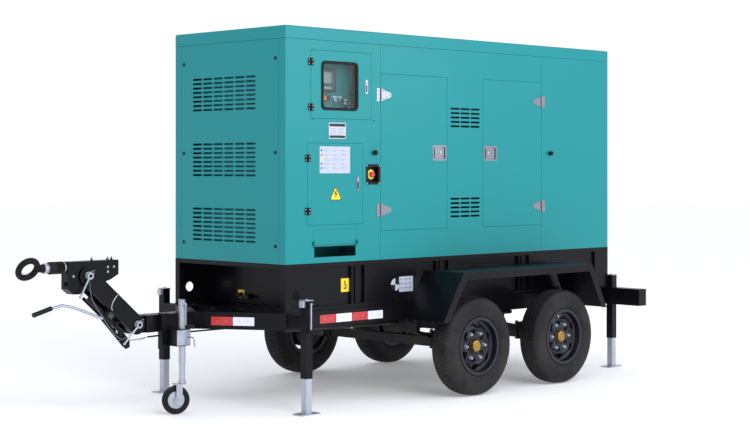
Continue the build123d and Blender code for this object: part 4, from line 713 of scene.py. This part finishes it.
for k in range(4):
    turn(f"controller_lamp_{k}", [(0, 0.003), (0.001, 0.0028), (0.0014, 0)],
         (NOSE + 0.529, FACE_Y - 0.0012, 2.40 - 0.018 * k), OUT, (RED, ORANGE, GREEN, GREEN)[k],
         "chassis", steps=16)
on_panel("panel_label_white", (0.372, 0.452), (2.196, 2.244), WHITE, y=PANEL_Y)
on_panel("panel_label_dark", (0.458, 0.533), (2.196, 2.244), INK, y=PANEL_Y)
on_panel("panel_label_orange", (0.463, 0.496), (2.203, 2.237), ORANGE, y=PANEL_Y - 0.0006)
for k in range(4):
    on_panel(f"panel_label_line_{k}", (0.379, 0.445 - 0.012 * (k % 2)),
             (2.234 - 0.010 * k, 2.237 - 0.010 * k), GREY, y=PANEL_Y - 0.0006, lift=0.0002,
             radius=0.001)
for tag, x, z in (("start", 0.578, 2.203), ("selector", 0.630, 2.203), ("key", 0.682, 2.182)):
    turn(f"{tag}_bezel", [(0, 0.0185), (0.002, 0.0185), (0.0035, 0.0165), (0.0035, 0.0138),
                          (0.001, 0.0138)], (NOSE + x, -0.525, z), OUT, ZINC, "chassis")
    on_panel(f"{tag}_plate", (x - 0.021, x + 0.021), (z + 0.022, z + 0.034), WHITE, y=PANEL_Y)
bevelled("selector_lever", (NOSE + 0.626, NOSE + 0.634), (-0.553, -0.539), (2.192, 2.214),
         PLASTIC, "chassis", 0.0015)
ring_points = []
for k in range(25):
    angle = 2 * math.pi * k / 24
    ring_points.append((NOSE + 0.682, -0.578 + 0.012 * math.sin(angle),
                        2.166 + 0.014 * math.cos(angle)))
wire("key_ring", ring_points, 0.0008, ZINC, "key")
cut_out("spare_key", rounded((-0.009, 0.009), (-0.046, -0.004), 0.005),
        (NOSE + 0.6815, -0.576, 2.158), (0, 1, 0), (0.1, 0, 1), 0.0016, ZINC, "key")
loom = [(0.735, 2.46), (0.748, 2.40), (0.742, 2.33), (0.722, 2.26), (0.733, 2.19), (0.74, 2.12)]
for k in range(3):
    wire(f"panel_loom_{k}", [(NOSE + x + 0.006 * k, PANEL_Y - 0.014 - 0.004 * k, z)
                             for x, z in loom], 0.0038, (SEAL, PLASTIC, SEAL)[k], "chassis")
for k, x in enumerate((0.39, 0.66)):
    bevelled(f"window_clip_{k}", (NOSE + x - 0.011, NOSE + x + 0.011), (-0.6298, -0.6255),
             (2.4635, 2.4735), SEAL, "control_door", 0.0015)
print("instrument panel made")

# %% [markdown]
# The lip of the window seal is a thick rubber bead, and the emergency stop sits in a deep
# black housing with a yellow collar. Both are turned or swept, so they catch a round
# highlight instead of a flat one.
# %% window bead and emergency stop
bead = rounded((0.3455, 0.7045), (2.1305, 2.4765), 0.034, 8)
bead_points = [(NOSE + u, -0.6283, v) for u, v in bead] + [(NOSE + bead[0][0], -0.6283,
                                                            bead[0][1])]
wire("window_bead", bead_points, 0.0042, SEAL, "control_door", smooth=False)
low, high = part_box("estop_button")
ex, ez = (low[0] + high[0]) / 2, (low[2] + high[2]) / 2
turn("stop_collar", [(0, 0.036), (0.001, 0.036), (0.0016, 0.0345), (0.0016, 0.0150),
                     (0.0006, 0.0150)], (ex, -0.6032, ez), OUT, YELLOW, "chassis", steps=64)
turn("stop_cap", [(0, 0.0198), (0.003, 0.0208), (0.008, 0.0204), (0.0125, 0.0155),
                  (0.0136, 0.0145), (0.0132, 0.006), (0.0138, 0)],
     (ex, low[1] + 0.0125, ez), OUT, RED, "estop", steps=56)
for k in range(3):
    angle = math.radians(90 + 120 * k)
    centre = Vector((ex + 0.011 * math.cos(angle), low[1] - 0.0011, ez + 0.011 * math.sin(angle)))
    turned_way = Vector((-math.sin(angle), 0, math.cos(angle)))
    outward = Vector((math.cos(angle), 0, math.sin(angle)))
    cut_out(f"stop_arrow_{k}", [(-0.005, -0.0012), (0.002, -0.0012), (0.002, -0.003),
                                (0.006, 0), (0.002, 0.003), (0.002, 0.0012), (-0.005, 0.0012)],
            centre, turned_way, outward, -0.0004, WHITE, "estop")
for k, (dx, dz) in enumerate(((-0.0625, -0.0645), (-0.0625, 0.0645), (0.0625, -0.0645),
                              (0.0625, 0.0645))):
    turn(f"stop_screw_{k}", [(0, 0.0055), (0.0012, 0.0052), (0.0024, 0.003), (0.0024, 0)],
         (ex + dx, -0.6279, ez + dz), OUT, ZINC, "chassis", steps=20)
print("stop made")

# %% [markdown]
# Labels tell the eye how big everything is. Each is a thin vinyl plate with plain bars where
# the print would be: a rating plate, a sheet of notes, a voltage triangle, and small marks on
# the base. No words, numbers or badges are reproduced.
# %% labels
label("rating_plate", (0.416, 0.585), (1.922, 2.038), ZINC, lift=0.0008, radius=0.006)
label("rating_band_top", (0.422, 0.579), (2.010, 2.032), INK, y=-0.6258)
label("rating_band_low", (0.422, 0.579), (1.928, 1.946), INK, y=-0.6258)
for row in range(4):
    for column in range(2):
        x = 0.430 + 0.076 * column
        label(f"rating_line_{row}{column}", (x, x + 0.052 + 0.008 * ((row + column) % 2)),
              (1.992 - 0.0125 * row, 1.996 - 0.0125 * row), GREY, y=-0.6258, radius=0.001)
for k, (x, z) in enumerate(((0.421, 1.927), (0.58, 1.927), (0.421, 2.033), (0.58, 2.033))):
    turn(f"rating_rivet_{k}", [(0, 0.0028), (0.001, 0.0024), (0.0014, 0)],
         (NOSE + x, -0.6260, z), OUT, ZINC, "chassis", steps=16)
label("notes_sheet", (0.327, 0.627), (1.673, 1.866), WHITE, "output_door", radius=0.006)
marks = ((0.345, 1.838, BLUE), (0.345, 1.806, ORANGE), (0.345, 1.774, YELLOW),
         (0.345, 1.742, RED), (0.345, 1.710, BLUE))
for k, (x, z, tone) in enumerate(marks):
    label(f"notes_mark_{k}", (x - 0.008, x + 0.008), (z - 0.008, z + 0.008), tone,
          "output_door", y=-0.6253, lift=0.0002)
    for column in range(3):
        start = 0.366 + 0.083 * column
        for row in range(2):
            stop = start + 0.066 - 0.014 * ((k + row + column) % 3)
            label(f"notes_line_{k}{column}{row}", (start, stop),
                  (z + 0.002 - 0.009 * row, z + 0.0045 - 0.009 * row), GREY, "output_door",
                  y=-0.6253, lift=0.0002, radius=0.001)
TRI = [(0.4845, 1.582), (0.424, 1.479), (0.545, 1.479)]


def triangle(name, inset, material, y):
    """An upright triangle with slightly rounded corners, shrunk by an inset."""
    cx = sum(p[0] for p in TRI) / 3
    cz = sum(p[1] for p in TRI) / 3
    points = []
    for x, z in TRI:
        keep = 1 - inset
        points.append((cx + (x - cx) * keep, cz + (z - cz) * keep))
    soft = []
    for i in range(3):
        a, b, c = Vector(points[i - 1]), Vector(points[i]), Vector(points[(i + 1) % 3])
        for t in (0, 0.5, 1):
            one = b + (a - b).normalized() * 0.009 * (1 - t)
            two = b + (c - b).normalized() * 0.009 * t
            soft.append(tuple(one + two - b))
    return cut_out(name, soft[::-1], (NOSE, y, 0), (1, 0, 0), (0, 0, 1), 0.0003, material,
                   "output_door")


triangle("voltage_black", 0.0, INK, -0.6250)
triangle("voltage_yellow", 0.13, YELLOW, -0.6253)
cut_out("voltage_bolt", [(0.487, 1.553), (0.470, 1.521), (0.484, 1.523), (0.478, 1.493),
                         (0.500, 1.529), (0.487, 1.527), (0.496, 1.553)],
        (NOSE, -0.6256, 0), (1, 0, 0), (0, 0, 1), 0.0003, INK, "output_door")
label("lift_mark", (0.555, 0.636), (0.811, 0.909), YELLOW, y=-0.6052)
hook = [(0.589, 0.892), (0.600, 0.892), (0.600, 0.868), (0.611, 0.856), (0.611, 0.842),
        (0.600, 0.830), (0.586, 0.833), (0.581, 0.842), (0.588, 0.846), (0.592, 0.841),
        (0.600, 0.843), (0.602, 0.852), (0.589, 0.864)]
cut_out("lift_hook", hook[::-1], (NOSE, -0.6055, 0), (1, 0, 0), (0, 0, 1), 0.0002, INK,
        "chassis")


def quarter(name, centre, radius, start, material):
    """A quarter of a disc on the base's web."""
    points = [(0, 0)] + [(radius * math.cos(math.radians(start + 10 * k)),
                          radius * math.sin(math.radians(start + 10 * k))) for k in range(10)]
    return cut_out(name, points, (NOSE + centre[0], -0.6053, centre[1]), (1, 0, 0), (0, 0, 1),
                   0.0003, material, "chassis")


for k in range(4):
    quarter(f"balance_mark_{k}", (1.116, 0.837), 0.0465, 90 * k, WHITE if k % 2 else INK)
label("data_label", (1.157, 1.307), (0.780, 0.894), WHITE, y=-0.6053)
for row in range(3):
    for column in range(3):
        x = 1.168 + 0.046 * column
        label(f"data_mark_{row}{column}", (x, x + 0.026 + 0.006 * ((row + column) % 2)),
              (0.868 - 0.032 * row, 0.878 - 0.032 * row), GREY, y=-0.6056, lift=0.0002,
              radius=0.001)
cut_out("tank_label", rounded((-0.248, -0.175), (0.739, 0.799), 0.004),
        (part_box("fuel_tank")[0][0] + 0.055, 0, 0), (0, -1, 0), (0, 0, 1), 0.0004, YELLOW,
        "chassis")
print("labels made")

# %% [markdown]
# Reflective tape runs along the rails and the drawbar frame in red and white blocks. Each
# block is its own strip with a small gap, and prismatic tape has dots where it is crimped.
# %% reflective tape


def tape(name, start, stop, z, colours, gap=0.002):
    """Blocks of tape on an upright face, from one (x, y) point to another."""
    start, stop = Vector((*start, 0)), Vector((*stop, 0))
    run = stop - start
    across = run.normalized()
    step = run.length / len(colours)
    for k, tone in enumerate(colours):
        cut_out(f"{name}_{k}", rounded((step * k + gap, step * (k + 1) - gap), z, 0.003), start,
                across, (0, 0, 1), 0.0006, tone, "chassis")
        for dot in range(2):
            centre = start + across * (step * (k + 0.3 + 0.4 * dot))
            centre.z = (z[0] + z[1]) / 2
            normal = across.cross(Vector((0, 0, 1)))
            turn(f"{name}_dot_{k}{dot}", [(0, 0.0045), (0.0004, 0.0042), (0.0006, 0)],
                 centre + normal * 0.0006, normal, GREY, "chassis", steps=14)


both = (TAPE_RED, TAPE_WHITE)
tape("tape_left", (NOSE + 0.314, -0.6401), (NOSE + 0.951, -0.6401), (0.60, 0.66), both * 2)
tape("tape_right", (NOSE + 0.951, 0.6401), (NOSE + 0.314, 0.6401), (0.60, 0.66), both * 2)
for tag, side in (("left", -1), ("right", 1)):
    outer = Vector((NOSE - 0.0003, side * 0.636, 0))
    inner = Vector((NOSE - 0.37, side * 0.0603, 0))
    normal = Vector((-(inner - outer).y, (inner - outer).x, 0)).normalized() * 0.0002
    if normal.y * side < 0:
        normal = -normal
    a, b = outer.lerp(inner, 0.81) + normal, outer.lerp(inner, 0.34) + normal
    if side > 0:
        a, b = b, a
    tape(f"tape_beam_{tag}", (a.x, a.y), (b.x, b.y), (0.60, 0.66), both)
print("tape made")

# %% [markdown]
# The drawbar folds on two pins. Each pin has a nut on one side and a zinc lock handle on the
# other, and thin safety wires hang between them. The overrun damper's gaiter ends in clamp
# rings, and a brake rod runs back under the frame.
# %% drawbar details
PIVOT = Vector((NOSE - 0.850, 0, 0.632))
LEAN = math.radians(41.3)
HEAD = PIVOT + Vector((-0.539 * math.cos(LEAN), 0, 0.539 * math.sin(LEAN)))


def on_arm(s, t, y):
    """A point s along the drawbar arm and t above its middle line, in metres."""
    return Vector((PIVOT.x - s * math.cos(LEAN) + t * math.sin(LEAN), y,
                   PIVOT.z + s * math.sin(LEAN) + t * math.cos(LEAN)))


for tag, place in (("rear", PIVOT), ("front", HEAD)):
    bolt(f"pivot_nut_{tag}", place + Vector((0, 0.0552, 0)), (0, 1, 0), 0.020, ZINC,
         "drawbar_arm")
    turn(f"pivot_washer_{tag}", [(0, 0.027), (0.002, 0.027), (0.003, 0.025), (0.003, 0)],
         place + Vector((0, -0.0552, 0)), (0, -1, 0), ZINC, "drawbar_arm")
    turn(f"handle_boss_{tag}", [(0, 0.0238), (0.006, 0.0242), (0.018, 0.0242), (0.0215, 0.021),
                                (0.0215, 0.0125)],
         place + Vector((0, -0.0578, 0)), (0, -1, 0), ZINC, f"lock_handle_{tag}")
    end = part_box(f"lock_handle_{tag}")
    tip = Vector((end[0][0] + 0.006, -0.070, end[0][2] + 0.006))
    turn(f"handle_knob_{tag}", [(-0.012, 0.0072), (-0.006, 0.0098), (0, 0.0098), (0.006, 0.0062),
                                (0.006, 0)], tip, tip - (place + Vector((0, -0.070, 0))), ZINC,
         f"lock_handle_{tag}", steps=24)
    wire(f"hairpin_{tag}", [place + Vector(v) for v in (
        (0.030, -0.079, 0.020), (0.010, -0.0792, 0.006), (-0.016, -0.079, -0.014),
        (-0.030, -0.0785, -0.010), (-0.028, -0.079, 0.006), (-0.010, -0.0795, 0.020),
        (0.012, -0.079, 0.032), (0.034, -0.079, 0.036))], 0.0018, ZINC, "drawbar_arm")
wire("safety_wire", [on_arm(0.515, -0.02, -0.060),
                     on_arm(0.44, -0.105, -0.062), on_arm(0.33, -0.128, -0.060),
                     on_arm(0.20, -0.16, -0.061), on_arm(0.09, -0.172, -0.060),
                     on_arm(0.02, -0.155, -0.059), on_arm(0.01, -0.055, -0.060)], 0.0014,
     GREY, "drawbar_arm")
wire("arm_clip", [on_arm(0.235, -0.056, -0.0555), on_arm(0.262, -0.05, -0.0585),
                  on_arm(0.275, 0.02, -0.0585), on_arm(0.266, 0.061, -0.057),
                  on_arm(0.266, 0.061, 0.030)], 0.0042, ZINC, "drawbar_arm")
wire("brake_line", [on_arm(0.04, -0.168, -0.024), PIVOT + Vector((0.03, -0.015, -0.115)),
                    PIVOT + Vector((0.10, -0.01, -0.098))], 0.0045, ZINC, "drawbar_arm")
wire("brake_rod", [(NOSE - 0.735, -0.010, 0.536), (NOSE - 0.40, 0.0, 0.545),
                   (NOSE + 0.10, 0.0, 0.545), (NOSE + 0.62, 0.0, 0.520)], 0.006, UNDER,
     "chassis", smooth=False)
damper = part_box("gaiter")
damper_z = (damper[0][2] + damper[1][2]) / 2
for k, x in enumerate((damper[0][0] + 0.004, damper[1][0] - 0.005)):
    turn(f"gaiter_clamp_{k}", [(-0.0035, 0.0335 + 0.007 * k), (0.0035, 0.0335 + 0.007 * k),
                               (0.0035, 0.031 + 0.007 * k), (-0.0035, 0.031 + 0.007 * k)],
         (x, 0, damper_z), (1, 0, 0), ZINC, "coupling_head")
eye_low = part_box("tow_eye")[0]
shank = [(0, 0.0245), (0.003, 0.0345), (0.028, 0.0352), (0.036, 0.030), (0.052, 0.0285),
         (0.056, 0.0255)]
turn("shank_sleeve", shank, (eye_low[0] + 0.204, 0, damper_z), (1, 0, 0), GALV, "tow_eye")
for k, (dx, dz) in enumerate(((-0.112, 0.0), (0.165, 0.052), (0.165, 0.02), (0.215, 0.052))):
    for side in (-1, 1):
        bolt(f"head_bolt_{k}{'a' if side < 0 else 'b'}", HEAD + Vector((dx, side * 0.0401, dz)),
             (0, side, 0), 0.0075, ZINC, "coupling_head")
for k in range(3):
    place = HEAD + Vector(((0.060, 0.190, 0.222)[k], 0, 0.110))
    turn(f"grease_nipple_{k}", [(0, 0.0062), (0.004, 0.0062), (0.0045, 0.0035), (0.008, 0.0035),
                                (0.0105, 0.0048), (0.0125, 0.0036), (0.0125, 0)],
         place, (0, 0, 1), ZINC, "coupling_head", steps=20)
print("drawbar details made")

# %% [markdown]
# Under the frame the real trailer shows pipes, brake rods and the ends of bolts. They are
# dark and half hidden, but without them the underside looks empty through the wheels.
# %% trailer details
for tag, side in (("left", -1), ("right", 1)):
    for k, x in enumerate((0.658, 1.121, 0.33, 3.2)):
        bolt(f"rail_bolt_{tag}_{k}", (NOSE + x, side * 0.6145, 0.7225), (0, 0, 1), 0.009,
             UNDER, "chassis")
    wire(f"brake_pipe_{tag}", [(NOSE + 0.10, side * 0.50, 0.560), (NOSE + 0.7, side * 0.50, 0.548),
                               (NOSE + 1.3, side * 0.47, 0.535),
                               (NOSE + 2.6, side * 0.47, 0.535)], 0.016, UNDER, "chassis")
    for place, axle in (("front", 1.585), ("rear", 2.595)):
        for bx in (-0.044, 0.044):
            for by in (-0.033, 0.033):
                top = (NOSE + axle + bx, side * 0.610 + by, 0.4620)
                turn(f"u_nut_{tag}_{place}_{bx}_{by}".replace("-", "m"),
                     [(0, 0.0125), (0.009, 0.0125), (0.0105, 0.0105), (0.0105, 0.0071)], top,
                     (0, 0, 1), ZINC, "axles", steps=6, smooth=20)
    for k, x in enumerate((1.215, 1.955, 2.225, 2.965)):
        bolt(f"eye_bolt_{tag}_{k}", (NOSE + x, side * 0.6461, 0.5123), (0, side, 0), 0.010,
             GALV, "chassis")
    # tail lamp on the end of the rear crossbeam, with a lens in two colours
    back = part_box("chassis_frame")[1][0]
    outer = (side * 0.80, side * 0.985)
    bevelled(f"lamp_case_{tag}", (back - 0.001, back + 0.018), sorted(outer), (0.578, 0.664),
             PLASTIC, "chassis", 0.006)
    bevelled(f"lamp_red_{tag}", (back + 0.014, back + 0.034),
             sorted((side * 0.806, side * 0.905)), (0.584, 0.658), RED, "chassis", 0.006)
    bevelled(f"lamp_amber_{tag}", (back + 0.014, back + 0.034),
             sorted((side * 0.909, side * 0.979)), (0.584, 0.658), ORANGE, "chassis", 0.006)
    cut_out(f"beam_end_{tag}", rounded((-0.046, 0.046), (0.557, 0.688), 0.006),
            (back - 0.05, side * 1.0201, 0), (-side, 0, 0), (0, 0, 1), 0.0006, BLACK,
            "chassis")
    # bolts along the mudguard's foot
    for k in range(4):
        bolt(f"guard_bolt_{tag}_{k}", (NOSE + 1.140, side * (0.70 + 0.09 * k), 0.5752),
             (0, 0, 1), 0.008, UNDER, "chassis")
for k, x in enumerate((-0.045, -0.25)):
    bolt(f"beam_bolt_{k}", (NOSE + x - 0.1, 0, 0.6922), (0, 0, 1), 0.009, UNDER, "chassis")
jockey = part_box("jockey_tube")
jx = (jockey[0][0] + jockey[1][0]) / 2
turn("jockey_cap", [(0, 0.0245), (0.002, 0.0262), (0.010, 0.0262), (0.013, 0.022), (0.014, 0)],
     (jx, -0.170, jockey[1][2] - 0.012), (0, 0, 1), ZINC, "jockey_tube")
bevelled("clamp_plate", (jx - 0.078, jx + 0.040), (-0.2165, -0.2123), (0.482, 0.588), ZINC,
         "chassis", 0.002)
for k, z in enumerate((0.500, 0.570)):
    bolt(f"clamp_bolt_{k}", (jx - 0.058, -0.2166, z), (0, -1, 0), 0.008, GALV, "chassis")
wire("clamp_handle", [(jx + 0.030, -0.222, 0.535), (jx + 0.034, -0.250, 0.535),
                      (jx + 0.036, -0.262, 0.52), (jx + 0.036, -0.266, 0.470)], 0.0055, ZINC,
     "chassis")
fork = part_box("jockey_wheel")
hub = Vector([(a + b) / 2 for a, b in zip(*fork)])
way = Vector((-math.sin(math.radians(160)), math.cos(math.radians(160)), 0))
for sign in (-1, 1):
    turn(f"jockey_nut_{'a' if sign < 0 else 'b'}", [(0, 0.012), (0.007, 0.012), (0.009, 0.010),
                                                    (0.009, 0)],
         hub + way * sign * 0.0365, way * sign, ZINC, "jockey_fork", steps=6, smooth=20)
    turn(f"jockey_hub_{'a' if sign < 0 else 'b'}", [(0, 0.060), (0.002, 0.060), (0.004, 0.052),
                                                    (0.002, 0.030), (0.006, 0.024)],
         hub + way * sign * 0.0118, way * sign, GALV, "jockey_wheel")
for corner in ("front_left", "front_right", "rear_left", "rear_right"):
    low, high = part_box(f"jack_leg_{corner}")
    cx, cy = (low[0] + high[0]) / 2, (low[1] + high[1]) / 2
    # black discs on the foot plate stand for its holes: painted shade
    for k, (dx, dy) in enumerate(((-0.07, -0.034), (0.07, -0.034), (-0.07, 0.034),
                                  (0.07, 0.034))):
        turn(f"foot_hole_shade_{corner}_{k}", [(0, 0.0095), (0.0006, 0.0095), (0.0008, 0.0075),
                                        (0.0002, 0.0070)],
             (cx + dx, cy + dy, 0.0078), (0, 0, 1), INK, f"jack_leg_{corner}", steps=24)
    for k in range(3):
        bevelled(f"foot_gusset_{corner}_{k}", (cx - 0.0285, cx + 0.0285),
                 (cy - 0.0275 + 0.001 * k, cy - 0.0265 + 0.001 * k), (0.008, 0.020), GALV,
                 f"jack_leg_{corner}", 0.0003)
    bolt(f"jack_cap_bolt_{corner}", (cx, cy, 0.7951), (0, 0, 1), 0.008, GALV, "chassis")
print("trailer details made")

# %% [markdown]
# Behind the louvres, sound foam lines the canopy and catches the light as a dark, soft skin.
# The engine gets injectors, injector pipes and an upper hose, so the open doors show a real
# machine.
# %% inside the canopy
for tag, side in (("left", -1), ("right", 1)):
    for place in ("front", "rear"):
        low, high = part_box(f"door_{tag}_{place}")
        inner = side * (0.625 - 0.0026)
        edge = side * (0.625 - 0.0225)
        bevelled(f"door_foam_{tag}_{place}", (low[0] + 0.006, high[0] - 0.006),
                 sorted((inner, side * (0.625 - 0.0165))), (low[2] + 0.006, 1.742), FOAM,
                 f"door_{tag}_{place}", 0.003)
        bevelled(f"door_foam_top_{tag}_{place}", (low[0] + 0.006, high[0] - 0.006),
                 sorted((inner, side * (0.625 - 0.0165))), (1.916, high[2] - 0.006), FOAM,
                 f"door_{tag}_{place}", 0.003)
roof_z = roof_high[2]
bevelled("roof_foam", (NOSE + 0.035, TAIL - 0.035), (-0.585, 0.585),
         (roof_z - 0.0345, roof_z - 0.0132), FOAM, "chassis", 0.003)
engine_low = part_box("engine")[0]
bank = engine_low[0] + 0.118
shaft_z = 1.456
for k in range(6):
    x = bank + 0.085 + 0.134 * k
    wire(f"injector_pipe_{k}", [(x, -0.10, shaft_z + 0.448), (x + 0.01, -0.14, shaft_z + 0.470),
                                (x - 0.01, -0.19, shaft_z + 0.43),
                                (bank + 0.44 + 0.02 * k, -0.235, shaft_z + 0.25)], 0.0035,
         ZINC, "chassis")
    turn(f"injector_{k}", [(0, 0.014), (0.012, 0.014), (0.014, 0.010), (0.035, 0.010),
                           (0.038, 0.006), (0.038, 0)], (x, -0.10, shaft_z + 0.418), (0, 0, 1),
         ZINC, "chassis", steps=24)
wire("upper_hose", [(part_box("radiator")[0][0] + 0.02, -0.25, 2.16), (bank + 0.86, -0.22, 2.06),
                    (bank + 0.82, -0.13, 1.90)], 0.032, SEAL, "chassis")
print("inside made")

# %% [markdown]
# The louvres are pressed openings: behind each one the dark baffle and the inner frame show.
# A thin painted lip around every slot would be lost at this size, so the slots keep their
# true cut edges, and the depth behind them does the work.
# %% seams and seals
for tag, side in (("left", -1), ("right", 1)):
    for k, (x, low_z, high_z) in enumerate(((0.941, 1.0325, 2.624), (2.809, 1.0325, 2.624))):
        bevelled(f"seam_strip_{tag}_{k}", (NOSE + x - 0.004, NOSE + x + 0.004),
                 sorted((side * 0.6212, side * 0.6190)), (low_z, high_z), SEAL, "chassis",
                 0.0005)
    bevelled(f"roof_seal_{tag}", (NOSE + 0.004, TAIL - 0.004),
             sorted((side * 0.6215, side * 0.6155)), (2.6215, 2.6285), SEAL, "chassis", 0.001)
for tag, x, way in (("front", NOSE, 1), ("rear", TAIL, -1)):
    bevelled(f"roof_seal_{tag}", sorted((x + way * 0.0035, x + way * 0.0095)),
             (-0.615, 0.615), (2.6215, 2.6285), SEAL, "chassis", 0.001)
print("seams made")

# %% [markdown]
# A product view needs only a pale floor, a bright sky from every side and two large soft lamps
# that give the roof and the long side a gentle gradient. The sky is a little brighter to the
# camera than it is as a light, and the floor glows slightly, so both read as plain white. The
# camera stands low and far away, with a long lens, at the height of a person's eyes.
# %% floor, light and camera
FLOOR_HALF = 60
FLOOR_GLOW = 0.2
SKY_AS_LIGHT, SKY_AS_SEEN = 0.9, 1.15
EYE_HEIGHT = 1.712
CAMERA_TURN = -44.71
floor_work = bmesh.new()
for x, y in ((-1, -1), (1, -1), (1, 1), (-1, 1)):
    floor_work.verts.new((x * FLOOR_HALF, y * FLOOR_HALF, -0.0005))
floor_work.faces.new(floor_work.verts)
floor = from_bmesh("floor", floor_work)
FLOOR = bpy.data.materials.new("pale_floor")
FLOOR.use_nodes = True
floor_bsdf = FLOOR.node_tree.nodes["Principled BSDF"]
floor_bsdf.inputs["Base Color"].default_value = linear("F8F8FA")
floor_bsdf.inputs["Roughness"].default_value = 0.75
floor_bsdf.inputs["Emission Color"].default_value = linear("FFFFFF")
floor_bsdf.inputs["Emission Strength"].default_value = FLOOR_GLOW
floor.data.materials.append(FLOOR)

world = bpy.data.worlds.new("studio")
bpy.context.scene.world = world
world.use_nodes = True
world.node_tree.nodes["Background"].inputs["Color"].default_value = linear("F6F8FF")
sky_ray = add(world.node_tree, "ShaderNodeLightPath").outputs["Is Camera Ray"]
sky_level = add(world.node_tree, "ShaderNodeMapRange",
                inputs={"Value": sky_ray, "To Min": SKY_AS_LIGHT, "To Max": SKY_AS_SEEN})
world.node_tree.links.new(sky_level.outputs["Result"],
                          world.node_tree.nodes["Background"].inputs["Strength"])


def lamp(name, place, aim, size, power, tint):
    """A square area lamp that points at a spot."""
    data = bpy.data.lights.new(name, "AREA")
    data.size = size
    data.energy = power
    data.color = linear(tint)[:3]
    item = bpy.data.objects.new(name, data)
    bpy.context.collection.objects.link(item)
    item.location = place
    item.rotation_euler = (Vector(aim) - Vector(place)).to_track_quat("-Z", "Y").to_euler()


lamp("key", (-3.0, -8.5, 6.5), (0, 0, 1.3), 4.0, 330, "FFFFFF")
lamp("fill", (5.0, -8.0, 4.5), (0, 0, 1.2), 5.0, 200, "F2F6FF")
camera_data = bpy.data.cameras.new("camera")
camera_data.lens = 78.03
camera_data.sensor_width = 36
camera_data.shift_y = -0.0655
camera = bpy.data.objects.new("camera", camera_data)
bpy.context.collection.objects.link(camera)
camera.location = (NOSE - 7.564, -9.158, EYE_HEIGHT)
camera.rotation_euler = (math.radians(90), 0, math.radians(CAMERA_TURN))
bpy.context.scene.camera = camera
bpy.context.scene.view_settings.view_transform = "Standard"
print("stage ready")
